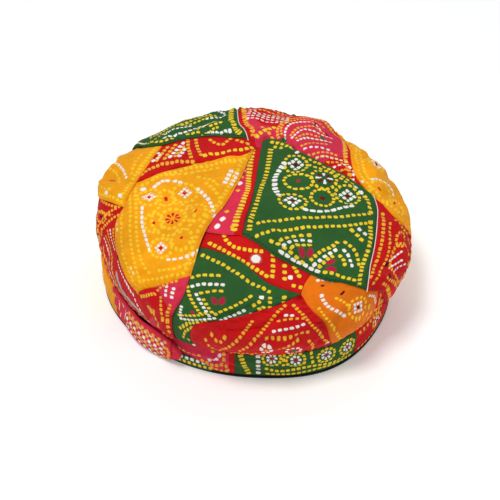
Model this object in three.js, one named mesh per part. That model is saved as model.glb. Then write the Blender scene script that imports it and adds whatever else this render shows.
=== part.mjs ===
// A tied turban, the pagri: wraps of sewn patchwork cloth wound over a padded black cap.
// Millimetres, +Z up. The origin is on the surface that it rests on, under the middle of the turban.
// The front is -Y, and azimuth 0 is +X, which is to the right when the turban is seen from the front.

import * as THREE from "three";

// Driving dimensions
const CROWN_HEIGHT = 98; // top of the crown over the middle of the head
const CROWN_LEAN = 21; // how much higher the crown stands at the back edge, at LEAN_RADIUS
const LEAN_RADIUS = 130;
const NECK_HEIGHT = 23; // the crown's lowest cloth, where it turns in over the band
const NECK_INSET = 8; // the neck lies this far inside the band's face
const CLOTH_REACH = 185; // length of cloth from the crown's middle down to the neck
const BULGE_SHARE = 0.8; // share of that length which lies above the widest line
const SPREAD = 1.3; // evens out the cloth's length over the crown
const SHOULDER_ROUND = 0.9; // powers of the crown's section: outwards and upwards
const CROWN_ROUND = 0.56;

const CLOTH = 2.4; // thickness of a wrap, folded cloth on wadding
const LAYER_GAP = 0.7; // clear space between one layer and the next
const LAYER = CLOTH + LAYER_GAP; // how much a wrap rises to lie over another
const TUCK = 9; // how far a lower wrap runs on under the upper one
const CREST = 2.5; // the upper wrap keeps its full rise this much past the tuck
const RAMP = 15; // then comes down over this length
const SEAM = 0.9; // gap between two sewn patches
const PUFF = 2.2; // how much the middle of a patch stands up between its seams
const CELL_OUT = 10.5; // mesh size of the cloth, away from the crown's middle
const CELL_ROUND = 12.5; // and round it

const BOX_MIDDLE = { x: 0.6, y: -1.9 }; // moves the turban so that the origin is under the middle of its box

const HEAD_RADIUS = 89; // opening for a head of 56 cm round
const HEAD_STRAIGHT = 50; // straight part of the hollow
const HEAD_DEPTH = 84; // top of the hollow
const FOOT = 2.2; // thickness of the cap's black foot, which shows under the band
const CAP_SIDES = 44;

const CAP_GAP = 0.8; // clear space between the cap and the cloth over it

const BAND_BOTTOM = FOOT + 0.6;
const BAND_INNER = 3.4; // inner face of the outer turns, inside the band's face
const BAND_ROLL = 0.8; // the turns' edges lie this far inside the face
const BAND_SWELL = 1.4; // and their middles swell out
const BAND_LAYER = 4.8; // how much a turn rises to lie over another
const BAND_STEP = 6; // degrees between two sections of a band turn
const UNDER_GAP = 0.9; // clear space between the band and the crown over it
const LOWER_TOP = 11; // upper edge of the narrow lower turn
const LOWER_FACE = 4.1; // its outer face, inside the band's face

// The turban's plan, a row for each 30 degrees: the band's face, the widest line and its height
const SECTIONS = [
  { azimuth: 0, band: 117, bulge: 131, height: 42 },
  { azimuth: 30, band: 117, bulge: 128, height: 48 },
  { azimuth: 60, band: 118, bulge: 131, height: 58 },
  { azimuth: 90, band: 120, bulge: 131, height: 65 },
  { azimuth: 120, band: 123, bulge: 130, height: 67 },
  { azimuth: 150, band: 126, bulge: 133, height: 70 },
  { azimuth: 180, band: 129, bulge: 131, height: 66 },
  { azimuth: 210, band: 121, bulge: 126, height: 61 },
  { azimuth: 240, band: 116, bulge: 125, height: 56 },
  { azimuth: 270, band: 117, bulge: 127, height: 52 },
  { azimuth: 300, band: 124, bulge: 128, height: 50 },
  { azimuth: 330, band: 122, bulge: 131, height: 48 },
];

// Main dents (-) and swellings (+) of the crown: where they are on the cloth's plan, and how wide and deep
const DENTS = [
  { x: -52, y: 112, radius: 46, rise: -4.5 },
  { x: 84, y: 84, radius: 42, rise: -3 },
  { x: 84, y: -120, radius: 30, rise: 3.5 },
  { x: 40, y: -98, radius: 22, rise: -2 },
  { x: -100, y: -12, radius: 18, rise: -1.5 },
  { x: 132, y: -52, radius: 26, rise: 2 },
];

// Edges where one wrap lies over another, on the cloth's plan: x to the right and y to the back of the crown's
// middle, measured along the cloth. The lower wrap runs on under the edge to its left (lower 1) or right (lower -1).
const EDGES = {
  diagonal: {
    lower: -1,
    points: [[4, 46], [-2, 34], [-7, 20], [-16, -1], [-24, -22], [-35, -45], [-42, -72], [-46, -86], [-55, -108],
      [-75, -135], [-93, -160]],
  },
  top: {
    lower: 1,
    points: [[-46, -41], [-35, -45], [-20, -48], [-8, -49], [3, -55], [16, -65], [29, -72], [51, -83], [66, -86],
      [88, -94], [107, -96], [135, -92], [165, -84]],
  },
  back: {
    lower: -1,
    points: [[4, 46], [-4, 51], [-29, 57], [-43, 56], [-56, 54], [-70, 51], [-86, 57], [-97, 71], [-118, 86],
      [-151, 107]],
  },
  side: {
    lower: 1,
    points: [[-174, 63], [-160, 48], [-145, 25], [-129, 6], [-111, -5], [-99, -12]],
  },
  free: {
    lower: 1,
    points: [[-99, -12], [-109, -28], [-113, -45], [-113, -60], [-111, -75], [-107, -91], [-100, -104],
      [-94, -119], [-96, -136], [-106, -152]],
  },
};

// Sewn seams inside a wrap, on the same plan
const SEAMS = {
  stripToGreen: [[7, 48], [4, 24], [1, -4], [-5, -31], [-8, -49]],
  redToLowerGreen: [[-38, -57], [-27, -60], [-8, -69], [8, -84], [19, -91], [34, -92]],
  lowerGreenToRed: [[34, -96], [19, -109], [-6, -126], [-46, -140], [-55, -155], [-60, -175]],
  redToOrange: [[34, -96], [46, -114], [69, -138], [88, -150], [106, -152]],
  stripEnd: [[40, -78], [36, -86], [34, -94]],
  orangeToSide: [[107, -96], [124, -108], [142, -118]],
  greenToRed: [[91, 0], [93, -12], [92, -28], [90, -50], [87, -74], [88, -94]],
  greenToPink: [[7, 48], [16, 54], [28, 57], [39, 51], [55, 37], [69, 23], [84, 8]],
  greenToOrange: [[84, 8], [91, 0]],
  orangeToRed: [[91, 0], [98, -5], [110, -15], [125, -20], [150, -24], [181, -38]],
  pinkToOrange: [[84, 8], [78, 22], [77, 40], [78, 60], [75, 80], [63, 95], [51, 102]],
  backToOrange: [[51, 102], [50, 125], [56, 150], [66, 173]],
  flapToPink: [[-4, 51], [-7, 62], [-11, 74], [-13, 106]],
  flapToBack: [[-13, 106], [-15, 140], [-19, 184]],
  pinkToBack: [[51, 102], [39, 110], [22, 114], [4, 112], [-13, 106]],
  sideToWedge: [[-70, 50], [-77, 30], [-87, 13]],
  sideToOrange: [[-87, 13], [-93, 0], [-99, -12]],
  wedgeToOrange: [[1, 42], [-7, 35], [-23, 34], [-36, 30], [-56, 23], [-76, 22], [-87, 13]],
  orangeToPink: [[-44, -82], [-65, -90], [-101, -103]],
  leftCloth: [[-99, -12], [-140, -25], [-182, -32]],
};

// The cloths' colours and surfaces
const COLOURS = {
  green: { color: 0x1e6432, roughness: 0.85, metalness: 0 },
  orange: { color: 0xffa30f, roughness: 0.85, metalness: 0 },
  red: { color: 0xc80f26, roughness: 0.85, metalness: 0 },
  pink: { color: 0xe62360, roughness: 0.85, metalness: 0 },
  black: { color: 0x17151a, roughness: 0.9, metalness: 0 },
};

const turban = new THREE.Group();
turban.name = "tied_turban";
turban.position.set(BOX_MIDDLE.x, BOX_MIDDLE.y, 0);

// Small helpers
const radians = (degrees) => (degrees * Math.PI) / 180;
const mix = (a, b, share) => a + (b - a) * share;
const clamp01 = (value) => Math.min(1, Math.max(0, value));
const smooth = (value) => {
  const t = clamp01(value);
  return t * t * (3 - 2 * t);
};

// A smooth closed curve through a column of SECTIONS, at any azimuth
function section(azimuth, column) {
  const count = SECTIONS.length;
  const place = (((azimuth % 360) + 360) % 360) / (360 / count);
  const row = Math.floor(place);
  const t = place - row;
  const [a, b, c, d] = [-1, 0, 1, 2].map((step) => SECTIONS[(row + step + count) % count][column]);
  const linear = (c - a) * t;
  const square = (2 * a - 5 * b + 4 * c - d) * t * t;
  const cubic = (3 * b - a - 3 * c + d) * t * t * t;
  return 0.5 * (2 * b + linear + square + cubic);
}

// The crown without its dents: a place on the cloth's plan becomes a point on its outer face
function plainForm(x, y) {
  const azimuth = (Math.atan2(y, x) * 180) / Math.PI;
  const share = Math.hypot(x, y) / CLOTH_REACH;
  const bulge = section(azimuth, "bulge");
  const height = section(azimuth, "height");
  const neck = section(azimuth, "band") - NECK_INSET;
  let radius;
  let z;
  if (share <= BULGE_SHARE) {
    const over = (Math.pow(share / BULGE_SHARE, SPREAD) * Math.PI) / 2;
    radius = bulge * Math.pow(Math.sin(over), SHOULDER_ROUND);
    const top = CROWN_HEIGHT + (CROWN_LEAN * Math.sin(radians(azimuth)) * radius) / LEAN_RADIUS;
    z = height + (top - height) * Math.pow(Math.max(0, Math.cos(over)), CROWN_ROUND);
  } else {
    const under = ((share - BULGE_SHARE) / (1 - BULGE_SHARE)) * (Math.PI / 2);
    radius = neck + (bulge - neck) * Math.cos(under);
    z = height - (height - NECK_HEIGHT) * Math.sin(under);
  }
  return new THREE.Vector3(radius * Math.cos(radians(azimuth)), radius * Math.sin(radians(azimuth)), z);
}

// The outward direction there
function formNormal(x, y) {
  const step = 0.7;
  const alongX = plainForm(x + step, y).sub(plainForm(x - step, y));
  const alongY = plainForm(x, y + step).sub(plainForm(x, y - step));
  return alongX.cross(alongY).normalize();
}

// Dents and swellings fade out under the widest line, so that the crown still meets the band
const aboveBulge = (x, y) => 1 - smooth((Math.hypot(x, y) - 150) / 18);
function dent(x, y) {
  let rise = 0;
  for (const one of DENTS) {
    const away = Math.hypot(x - one.x, y - one.y) / one.radius;
    rise += one.rise * Math.exp(-2 * away * away);
  }
  return rise * aboveBulge(x, y);
}

// A point on the crown, raised off its outer face
function formPoint(x, y, raised) {
  return plainForm(x, y).addScaledVector(formNormal(x, y), raised + dent(x, y));
}

// Edges as smooth curves on the plan
const curves = {};
for (const [name, edge] of Object.entries(EDGES)) {
  const curve = new THREE.SplineCurve(edge.points.map(([x, y]) => new THREE.Vector2(x, y)));
  curves[name] = curve.getSpacedPoints(120);
}

// Distance on the plan from a place to an edge
function toEdge(name, x, y) {
  let nearest = Infinity;
  const points = curves[name];
  for (let i = 1; i < points.length; i++) {
    const a = points[i - 1];
    const b = points[i];
    const length = (b.x - a.x) ** 2 + (b.y - a.y) ** 2;
    const share = clamp01(((x - a.x) * (b.x - a.x) + (y - a.y) * (b.y - a.y)) / length);
    nearest = Math.min(nearest, Math.hypot(x - mix(a.x, b.x, share), y - mix(a.y, b.y, share)));
  }
  return nearest;
}

// A wrap is fully raised along its edge, and comes down past the tuck and towards the neck
const rampDown = (away) => 1 - smooth((away - TUCK - CREST) / RAMP);
const beforeNeck = (x, y) => 1 - smooth((Math.hypot(x, y) - 165) / 15);
const riseAt = (name, x, y) => rampDown(toEdge(name, x, y)) * beforeNeck(x, y);

// How much each wrap is raised at a place, from the lowest wrap up
const LIFTS = {
  left: () => 0,
  front: () => 0,
  top: (x, y) => LAYER * riseAt("top", x, y),
  side: (x, y) => {
    const overFront = (LAYER + LIFTS.top(x, y)) * riseAt("diagonal", x, y);
    return Math.max(overFront, LAYER * riseAt("side", x, y), LAYER * riseAt("free", x, y));
  },
  back: (x, y) => (LAYER + LIFTS.side(x, y)) * riseAt("back", x, y),
};

// Edges that lie over each wrap, so that its patches stay flat under them
const COVERED_BY = { left: ["side", "free"], front: ["diagonal", "top"], top: ["diagonal"], side: ["back"], back: [] };

// The share of an edge's points that a place is nearest to
function placeOn(name, [x, y]) {
  let best = 0;
  curves[name].forEach((point, i) => {
    const found = curves[name][best];
    if (Math.hypot(point.x - x, point.y - y) < Math.hypot(found.x - x, found.y - y)) best = i;
  });
  return best;
}

// The tuck narrows to nothing at both ends of an edge and before the neck
function tuckAt(name, i) {
  const points = curves[name];
  const { x, y } = points[i];
  const along = i / (points.length - 1);
  const ends = Math.min(1, along * 5, (1 - along) * 5);
  return TUCK * Math.max(0, ends) * (1 - smooth((Math.hypot(x, y) - 140) / 20));
}

// Part of an edge, from one place to another. A lower wrap runs on under it by the tuck.
function along(name, from, to, under = false) {
  const points = curves[name];
  const start = placeOn(name, from);
  const end = placeOn(name, to);
  const step = start < end ? 1 : -1;
  const out = [];
  for (let i = start; i !== end + step; i += step) {
    const before = points[Math.max(0, i - 1)];
    const after = points[Math.min(points.length - 1, i + 1)];
    const direction = after.clone().sub(before).normalize();
    const across = new THREE.Vector2(-direction.y, direction.x).multiplyScalar(under ? EDGES[name].lower : 0);
    out.push(points[i].clone().addScaledVector(across, tuckAt(name, i)));
  }
  return out;
}
const under = (name, from, to) => along(name, from, to, true);
const tucked = (name, place) => under(name, place, place)[0];

// A seam, one way or the other, and a straight run between two places
const seam = (name) => SEAMS[name].map(([x, y]) => new THREE.Vector2(x, y));
const back = (name) => seam(name).reverse();
const straight = (from, to) => [new THREE.Vector2(...from), new THREE.Vector2(...to)];

// Part of the neck, between two azimuths
const neckPlace = (azimuth) => [CLOTH_REACH * Math.cos(radians(azimuth)), CLOTH_REACH * Math.sin(radians(azimuth))];
function neck(from, to) {
  const steps = Math.ceil(Math.abs(to - from) / 3);
  return Array.from({ length: steps + 1 }, (_, i) => new THREE.Vector2(...neckPlace(mix(from, to, i / steps))));
}

// A closed wall between an outer and an inner face, both grids of points with equal rows and columns
function wall(outer, inner, ringClosed = false) {
  const columns = outer.length;
  const rows = outer[0].length;
  const positions = [];
  for (const face of [outer, inner]) {
    for (const column of face) {
      for (const point of column) positions.push(point.x, point.y, point.z);
    }
  }
  const at = (face, i, j) => face * columns * rows + (i % columns) * rows + j;
  const index = [];
  const quad = (a, b, c, d) => index.push(a, b, c, a, c, d);
  const lastColumn = ringClosed ? columns : columns - 1;
  for (let i = 0; i < lastColumn; i++) {
    for (let j = 0; j < rows - 1; j++) {
      quad(at(0, i, j), at(0, i + 1, j), at(0, i + 1, j + 1), at(0, i, j + 1));
      quad(at(1, i, j), at(1, i, j + 1), at(1, i + 1, j + 1), at(1, i + 1, j));
    }
    quad(at(0, i, 0), at(1, i, 0), at(1, i + 1, 0), at(0, i + 1, 0));
    quad(at(0, i, rows - 1), at(0, i + 1, rows - 1), at(1, i + 1, rows - 1), at(1, i, rows - 1));
  }
  if (!ringClosed) {
    for (let j = 0; j < rows - 1; j++) {
      quad(at(0, 0, j), at(0, 0, j + 1), at(1, 0, j + 1), at(1, 0, j));
      const last = columns - 1;
      quad(at(0, last, j), at(1, last, j), at(1, last, j + 1), at(0, last, j + 1));
    }
  }
  const geometry = new THREE.BufferGeometry();
  geometry.setAttribute("position", new THREE.Float32BufferAttribute(positions, 3));
  geometry.setIndex(index);
  geometry.computeVertexNormals();
  return geometry;
}

// Adds one named piece in its cloth
function addPiece(name, geometry, cloth) {
  const piece = new THREE.Mesh(geometry, new THREE.MeshStandardMaterial(COLOURS[cloth]));
  piece.name = name;
  turban.add(piece);
}

// A side of a patch as equal steps along a smooth line
function steps(points, count) {
  const curve = new THREE.SplineCurve(points);
  return curve.getSpacedPoints(count);
}
const lengthOf = (points) => points.slice(1).reduce((sum, point, i) => sum + point.distanceTo(points[i]), 0);

// One sewn patch. Its four sides run round it: away from the crown's middle, round, back and round again.
function addPatch(name, wrap, cloth, sides) {
  sides.forEach((side, i) => side[0].copy(sides[(i + 3) % 4].at(-1)));
  const [first, second, third, fourth] = sides;
  const columns = Math.max(2, Math.ceil(Math.max(lengthOf(second), lengthOf(fourth)) / CELL_ROUND));
  const rows = Math.max(2, Math.ceil(Math.max(lengthOf(first), lengthOf(third)) / CELL_OUT));
  const west = steps(first, rows);
  const south = steps(second, columns);
  const east = steps(third, rows).reverse();
  const north = steps(fourth, columns).reverse();
  // A place on the patch's plan, filled in between its four sides
  const place = (i, j) => {
    const s = i / columns;
    const t = j / rows;
    const blend = (axis) => {
      const across = mix(west[j][axis], east[j][axis], s) + mix(north[i][axis], south[i][axis], t);
      const top = mix(west[0][axis], east[0][axis], s);
      return across - mix(top, mix(west[rows][axis], east[rows][axis], s), t);
    };
    return new THREE.Vector2(blend("x"), blend("y"));
  };
  const plan = [];
  for (let i = 0; i <= columns; i++) plan.push(Array.from({ length: rows + 1 }, (_, j) => place(i, j)));
  // Half the seam is taken off along each side
  const inset = (edge, inside) => edge.clone().lerp(inside, Math.min(0.4, SEAM / 2 / edge.distanceTo(inside)));
  const cut = plan.map((column) => column.map((point) => point.clone()));
  for (let i = 0; i <= columns; i++) {
    cut[i][0] = inset(plan[i][0], plan[i][1]);
    cut[i][rows] = inset(plan[i][rows], plan[i][rows - 1]);
  }
  for (let j = 0; j <= rows; j++) {
    cut[0][j].add(inset(plan[0][j], plan[1][j]).sub(plan[0][j]));
    cut[columns][j].add(inset(plan[columns][j], plan[columns - 1][j]).sub(plan[columns][j]));
  }
  // Its faces point outwards whichever way round its sides are given
  const loop = sides.flat();
  const turned = loop.reduce((sum, point, i) => sum + point.cross(loop[(i + 1) % loop.length]), 0) > 0;
  const raise = ({ x, y }) => LIFTS[wrap](x, y);
  const flat = ({ x, y }) => COVERED_BY[wrap].reduce((least, edge) => least * (1 - riseAt(edge, x, y)), 1);
  const outer = cut.map((column, i) =>
    column.map((point, j) => {
      const crest = 16 * (i / columns) * (1 - i / columns) * (j / rows) * (1 - j / rows);
      const puff = PUFF * Math.pow(crest, 0.6) * flat(point) * aboveBulge(point.x, point.y);
      return formPoint(point.x, point.y, raise(point) + puff);
    }),
  );
  const inner = cut.map((column) => column.map((point) => formPoint(point.x, point.y, raise(point) - CLOTH)));
  addPiece(name, turned ? wall(outer.reverse(), inner.reverse()) : wall(outer, inner), cloth);
}

// Front wrap, the lowest on the crown
function addFrontWrap() {
  const start = [-35, -45];
  const lowerStart = [-38, -57];
  const stripTip = [40, -78];
  const sideTip = [107, -96];
  const diagonalFoot = neckPlace(240);
  addPatch("front_red_strip", "front", "red", [
    under("diagonal", start, lowerStart),
    seam("redToLowerGreen"),
    [...back("stripEnd"), tucked("top", stripTip)],
    under("top", stripTip, [-46, -41]),
  ]);
  addPatch("front_lower_green", "front", "green", [
    under("diagonal", lowerStart, diagonalFoot),
    neck(240, 251.1),
    back("lowerGreenToRed"),
    [...back("redToLowerGreen").slice(0, -1), tucked("diagonal", lowerStart)],
  ]);
  addPatch("front_red_triangle", "front", "red", [
    seam("lowerGreenToRed"),
    neck(251.1, 304.9),
    back("redToOrange"),
    straight([36, -97], [34, -96]),
  ]);
  addPatch("front_orange_bulge", "front", "orange", [
    [...seam("stripEnd"), ...seam("redToOrange").slice(1)],
    neck(304.9, 320.3),
    [...back("orangeToSide"), tucked("top", sideTip)],
    under("top", sideTip, stripTip),
  ]);
  addPatch("front_red_side", "front", "red", [
    seam("orangeToSide"),
    neck(320.3, 332),
    under("top", [165, -84], [135, -92]),
    under("top", [135, -92], sideTip),
  ]);
}

// Top wrap, whose lower edge crosses the front
function addTopWrap() {
  addPatch("top_pink_strip", "top", "pink", [
    under("diagonal", [4, 46], [-35, -45]),
    along("top", [-46, -41], [-8, -49]),
    back("stripToGreen"),
    straight([7, 48], [4, 46]),
  ]);
  addPatch("top_big_green", "top", "green", [
    seam("stripToGreen"),
    along("top", [-8, -49], [88, -94]),
    back("greenToRed"),
    [...back("greenToOrange"), ...back("greenToPink").slice(1)],
  ]);
  addPatch("top_red_right", "top", "red", [
    seam("greenToRed"),
    along("top", [88, -94], [165, -84]),
    neck(333, 348.1),
    back("orangeToRed"),
  ]);
  addPatch("top_orange_right", "top", "orange", [
    [...seam("greenToOrange"), ...seam("orangeToRed").slice(1)],
    neck(348.1, 429.1),
    back("backToOrange"),
    back("pinkToOrange"),
  ]);
}

// Side wrap, over the front wrap along the diagonal and over the left cloth along its free edge
function addSideWrap() {
  const wedgeEnd = [-70, 51];
  addPatch("side_red_wedge", "side", "red", [
    under("back", [4, 46], wedgeEnd),
    [tucked("back", wedgeEnd), ...seam("sideToWedge")],
    back("wedgeToOrange"),
    straight([1, 42], [3, 46]),
  ]);
  addPatch("side_orange", "side", "orange", [
    under("back", wedgeEnd, [-151, 107]),
    neck(144.7, 160),
    along("side", [-174, 63], [-99, -12]),
    [...back("sideToOrange"), ...back("sideToWedge").slice(1), tucked("back", wedgeEnd)],
  ]);
  addPatch("side_big_orange", "side", "orange", [
    seam("wedgeToOrange"),
    [...seam("sideToOrange"), ...along("free", [-99, -12], [-101, -103])],
    back("orangeToPink"),
    along("diagonal", [-44, -82], [1, 42]),
  ]);
  addPatch("side_pink_foot", "side", "pink", [
    along("free", [-101, -103], [-106, -152]),
    neck(235.1, 239.8),
    along("diagonal", [-93, -160], [-44, -82]),
    seam("orangeToPink"),
  ]);
}

// Back wrap, over the side wrap along its front edge
function addBackWrap() {
  addPatch("back_green_flap", "back", "green", [
    along("back", [-4, 51], [-97, 71]),
    along("back", [-97, 71], [-151, 107]),
    neck(144.7, 95.9),
    [...back("flapToBack"), ...back("flapToPink").slice(1)],
  ]);
  addPatch("back_pink", "back", "pink", [
    seam("flapToPink"),
    back("pinkToBack"),
    back("pinkToOrange"),
    [...back("greenToPink"), ...along("back", [3, 47], [-3, 51])],
  ]);
  addPatch("back_green", "back", "green", [
    seam("flapToBack"),
    neck(95.9, 69.1),
    back("backToOrange"),
    seam("pinkToBack"),
  ]);
}

// Cloth low on the left, under the side wrap
function addLeftCloth() {
  addPatch("left_red_cloth", "left", "red", [
    under("side", [-145, 25], [-174, 63]),
    neck(160, 190),
    back("leftCloth"),
    under("side", [-99, -12], [-145, 25]),
  ]);
  addPatch("left_pink_cloth", "left", "pink", [
    seam("leftCloth"),
    neck(190, 235.1),
    under("free", [-106, -152], [-110, -80]),
    under("free", [-110, -80], [-99, -12]),
  ]);
}

// The crown's underside: its height at a radius, and its radius at a height
function underHeight(azimuth, radius) {
  const [bulge, height] = [section(azimuth, "bulge"), section(azimuth, "height")];
  const inset = section(azimuth, "band") - NECK_INSET;
  const share = clamp01((radius - inset) / (bulge - inset));
  return height - (height - NECK_HEIGHT) * Math.sqrt(1 - share * share);
}
function underRadius(azimuth, z) {
  const [bulge, height] = [section(azimuth, "bulge"), section(azimuth, "height")];
  const inset = section(azimuth, "band") - NECK_INSET;
  const share = clamp01((height - z) / (height - NECK_HEIGHT));
  return inset + (bulge - inset) * Math.sqrt(1 - share * share);
}

const polar = (azimuth, radius, z) =>
  new THREE.Vector3(radius * Math.cos(radians(azimuth)), radius * Math.sin(radians(azimuth)), z);

// A value between the rows of a short table, eased from one row to the next
function fromTable(rows, azimuth, column) {
  const after = rows.findIndex((row) => row.azimuth >= azimuth);
  if (after <= 0) return rows.at(after === 0 ? 0 : -1)[column];
  const [low, high] = [rows[after - 1], rows[after]];
  return mix(low[column], high[column], smooth((azimuth - low.azimuth) / (high.azimuth - low.azimuth)));
}

// One patch of a band turn, between two azimuths. The table gives its lower edge, its upper edge (0 where it
// runs up to the crown's underside) and how much it is raised over the turn below.
function addBandPatch(name, cloth, from, to, table) {
  const columns = Math.ceil((to - from) / BAND_STEP);
  const rows = 4;
  const halfSeam = 0.12;
  const outer = [];
  const inner = [];
  for (let i = 0; i <= columns; i++) {
    const azimuth = mix(from + halfSeam, to - halfSeam, i / columns);
    const face = section(azimuth, "band") + fromTable(table, azimuth, "raised");
    const bottom = fromTable(table, azimuth, "bottom");
    const wantedTop = fromTable(table, azimuth, "top");
    const innerTop = wantedTop || NECK_HEIGHT - UNDER_GAP;
    const outerTop = wantedTop || underHeight(azimuth, section(azimuth, "band") - BAND_ROLL) - UNDER_GAP;
    const outerColumn = [];
    const innerColumn = [];
    for (let j = 0; j <= rows; j++) {
      const t = j / rows;
      const innerZ = mix(bottom, innerTop, t);
      const outerZ = mix(bottom, outerTop, t);
      const clear = innerZ > NECK_HEIGHT - UNDER_GAP ? underRadius(azimuth, innerZ) + UNDER_GAP : 0;
      const innerRadius = Math.max(face - BAND_INNER, clear);
      const outerRadius = innerRadius + BAND_INNER - BAND_ROLL + BAND_SWELL * Math.sin(Math.PI * t);
      outerColumn.push(polar(azimuth, outerRadius, outerZ));
      innerColumn.push(polar(azimuth, innerRadius, innerZ));
    }
    outer.push(outerColumn);
    inner.push(innerColumn);
  }
  addPiece(name, wall(outer, inner), cloth);
}

// The right turn starts under the left turn's end, runs round the front and the back, and ends over its start
function addRightTurn() {
  const table = [
    { azimuth: 227, bottom: LOWER_TOP + UNDER_GAP, top: 0, raised: 0 },
    { azimuth: 250, bottom: LOWER_TOP + UNDER_GAP, top: 0, raised: 0 },
    { azimuth: 264, bottom: BAND_BOTTOM, top: 0, raised: 0 },
    { azimuth: 478, bottom: BAND_BOTTOM, top: 0, raised: 0 },
    { azimuth: 494, bottom: BAND_BOTTOM, top: 0, raised: BAND_LAYER },
    { azimuth: 508, bottom: BAND_BOTTOM, top: 0, raised: BAND_LAYER },
  ];
  addBandPatch("band_right_pink", "pink", 227, 263, table);
  addBandPatch("band_front_green", "green", 263, 311, table);
  addBandPatch("band_side_red", "red", 311, 372, table);
  addBandPatch("band_back_orange", "orange", 372, 440, table);
  addBandPatch("band_back_green", "green", 440, 508, table);
}

// The left turn stands higher and flares, and its hemmed end lies over the start of the right turn
function addLeftTurn() {
  const table = [
    { azimuth: 136, bottom: BAND_BOTTOM, top: NECK_HEIGHT - UNDER_GAP, raised: 0 },
    { azimuth: 164, bottom: BAND_BOTTOM, top: 24, raised: 0 },
    { azimuth: 186, bottom: BAND_BOTTOM, top: 34, raised: 0 },
    { azimuth: 206, bottom: BAND_BOTTOM, top: 34, raised: 0.5 },
    { azimuth: 224, bottom: BAND_BOTTOM, top: 28, raised: BAND_LAYER },
    { azimuth: 237, bottom: BAND_BOTTOM, top: 25, raised: BAND_LAYER },
  ];
  addBandPatch("band_left_orange", "orange", 136, 203, table);
  addBandPatch("band_left_pink", "pink", 203, 237, table);
}

// The narrow lower turn, a whole ring that shows at the front left, where it swells out under the right turn
function addLowerTurn() {
  const columns = 360 / BAND_STEP;
  const table = [
    { azimuth: 236, swell: 0 },
    { azimuth: 241, swell: 3.2 },
    { azimuth: 245, swell: 3.2 },
    { azimuth: 251, swell: 0 },
  ];
  const ring = (inside, swells) =>
    Array.from({ length: columns }, (_, i) => {
      const azimuth = i * BAND_STEP;
      const radius = section(azimuth, "band") - inside + (swells ? fromTable(table, azimuth, "swell") : 0);
      return [polar(azimuth, radius, BAND_BOTTOM), polar(azimuth, radius, LOWER_TOP)];
    });
  addPiece("band_lower_turn", wall(ring(LOWER_FACE, true), ring(LOWER_FACE + CLOTH, false), true), "green");
}

// The padded cap: one wall from the crown's middle outside, round the foot, and up to the middle of the hollow
function addCap() {
  const reaches = [16, 38, 60, 82, 103, 122, 138, 150, 161, 172, 183];
  const domeAngles = [22, 42, 60, 76];
  const clear = CLOTH + CAP_GAP;
  const profile = (azimuth) => {
    const face = section(azimuth, "band");
    const wallRadius = face - NECK_INSET - CAP_GAP;
    const out = reaches.map((reach) =>
      formPoint(reach * Math.cos(radians(azimuth)), reach * Math.sin(radians(azimuth)), -clear),
    );
    out.push(polar(azimuth, wallRadius, NECK_HEIGHT + clear - 0.4));
    out.push(polar(azimuth, wallRadius, FOOT));
    out.push(polar(azimuth, face - 0.3, FOOT));
    out.push(polar(azimuth, face - 0.3, 0));
    out.push(polar(azimuth, HEAD_RADIUS, 0));
    out.push(polar(azimuth, HEAD_RADIUS, HEAD_STRAIGHT));
    for (const angle of domeAngles) {
      const radius = HEAD_RADIUS * Math.cos(radians(angle));
      const rise = (HEAD_DEPTH - HEAD_STRAIGHT) * Math.pow(Math.sin(radians(angle)), 0.75);
      out.push(polar(azimuth, radius, HEAD_STRAIGHT + rise));
    }
    return out;
  };
  const columns = Array.from({ length: CAP_SIDES }, (_, i) => profile((i * 360) / CAP_SIDES));
  const rows = columns[0].length;
  const outerTop = formPoint(0.01, 0, -clear);
  const positions = [outerTop, ...columns.flat(), new THREE.Vector3(0, 0, HEAD_DEPTH)].flatMap((p) => p.toArray());
  const at = (i, j) => 1 + (i % CAP_SIDES) * rows + j;
  const hollowTop = 1 + CAP_SIDES * rows;
  const index = [];
  for (let i = 0; i < CAP_SIDES; i++) {
    index.push(0, at(i, 0), at(i + 1, 0));
    for (let j = 0; j < rows - 1; j++) {
      index.push(at(i, j), at(i, j + 1), at(i + 1, j + 1), at(i, j), at(i + 1, j + 1), at(i + 1, j));
    }
    index.push(hollowTop, at(i + 1, rows - 1), at(i, rows - 1));
  }
  const geometry = new THREE.BufferGeometry();
  geometry.setAttribute("position", new THREE.Float32BufferAttribute(positions, 3));
  geometry.setIndex(index);
  geometry.computeVertexNormals();
  addPiece("lining_cap", geometry, "black");
}

addCap();
addLowerTurn();
addRightTurn();
addLeftTurn();
addLeftCloth();
addFrontWrap();
addTopWrap();
addSideWrap();
addBackWrap();

export default turban;
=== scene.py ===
"""Dresses the tied turban: fine sewn cloth for the plain solids, its printed dots, thread, lining and studio.

The crown is described on the cloth's plan, as in the part's source: x to the right and y to the back of the
crown's middle, in millimetres. A place on the plan becomes a point on the crown. The plan is stretched
sideways low on the crown, so a length on it is not the length of the cloth there. Meshes are made in metres,
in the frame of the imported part.
"""

from __future__ import annotations

import logging
import math
from dataclasses import dataclass, field
from enum import Enum
from typing import Callable, Iterable, Sequence

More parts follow.
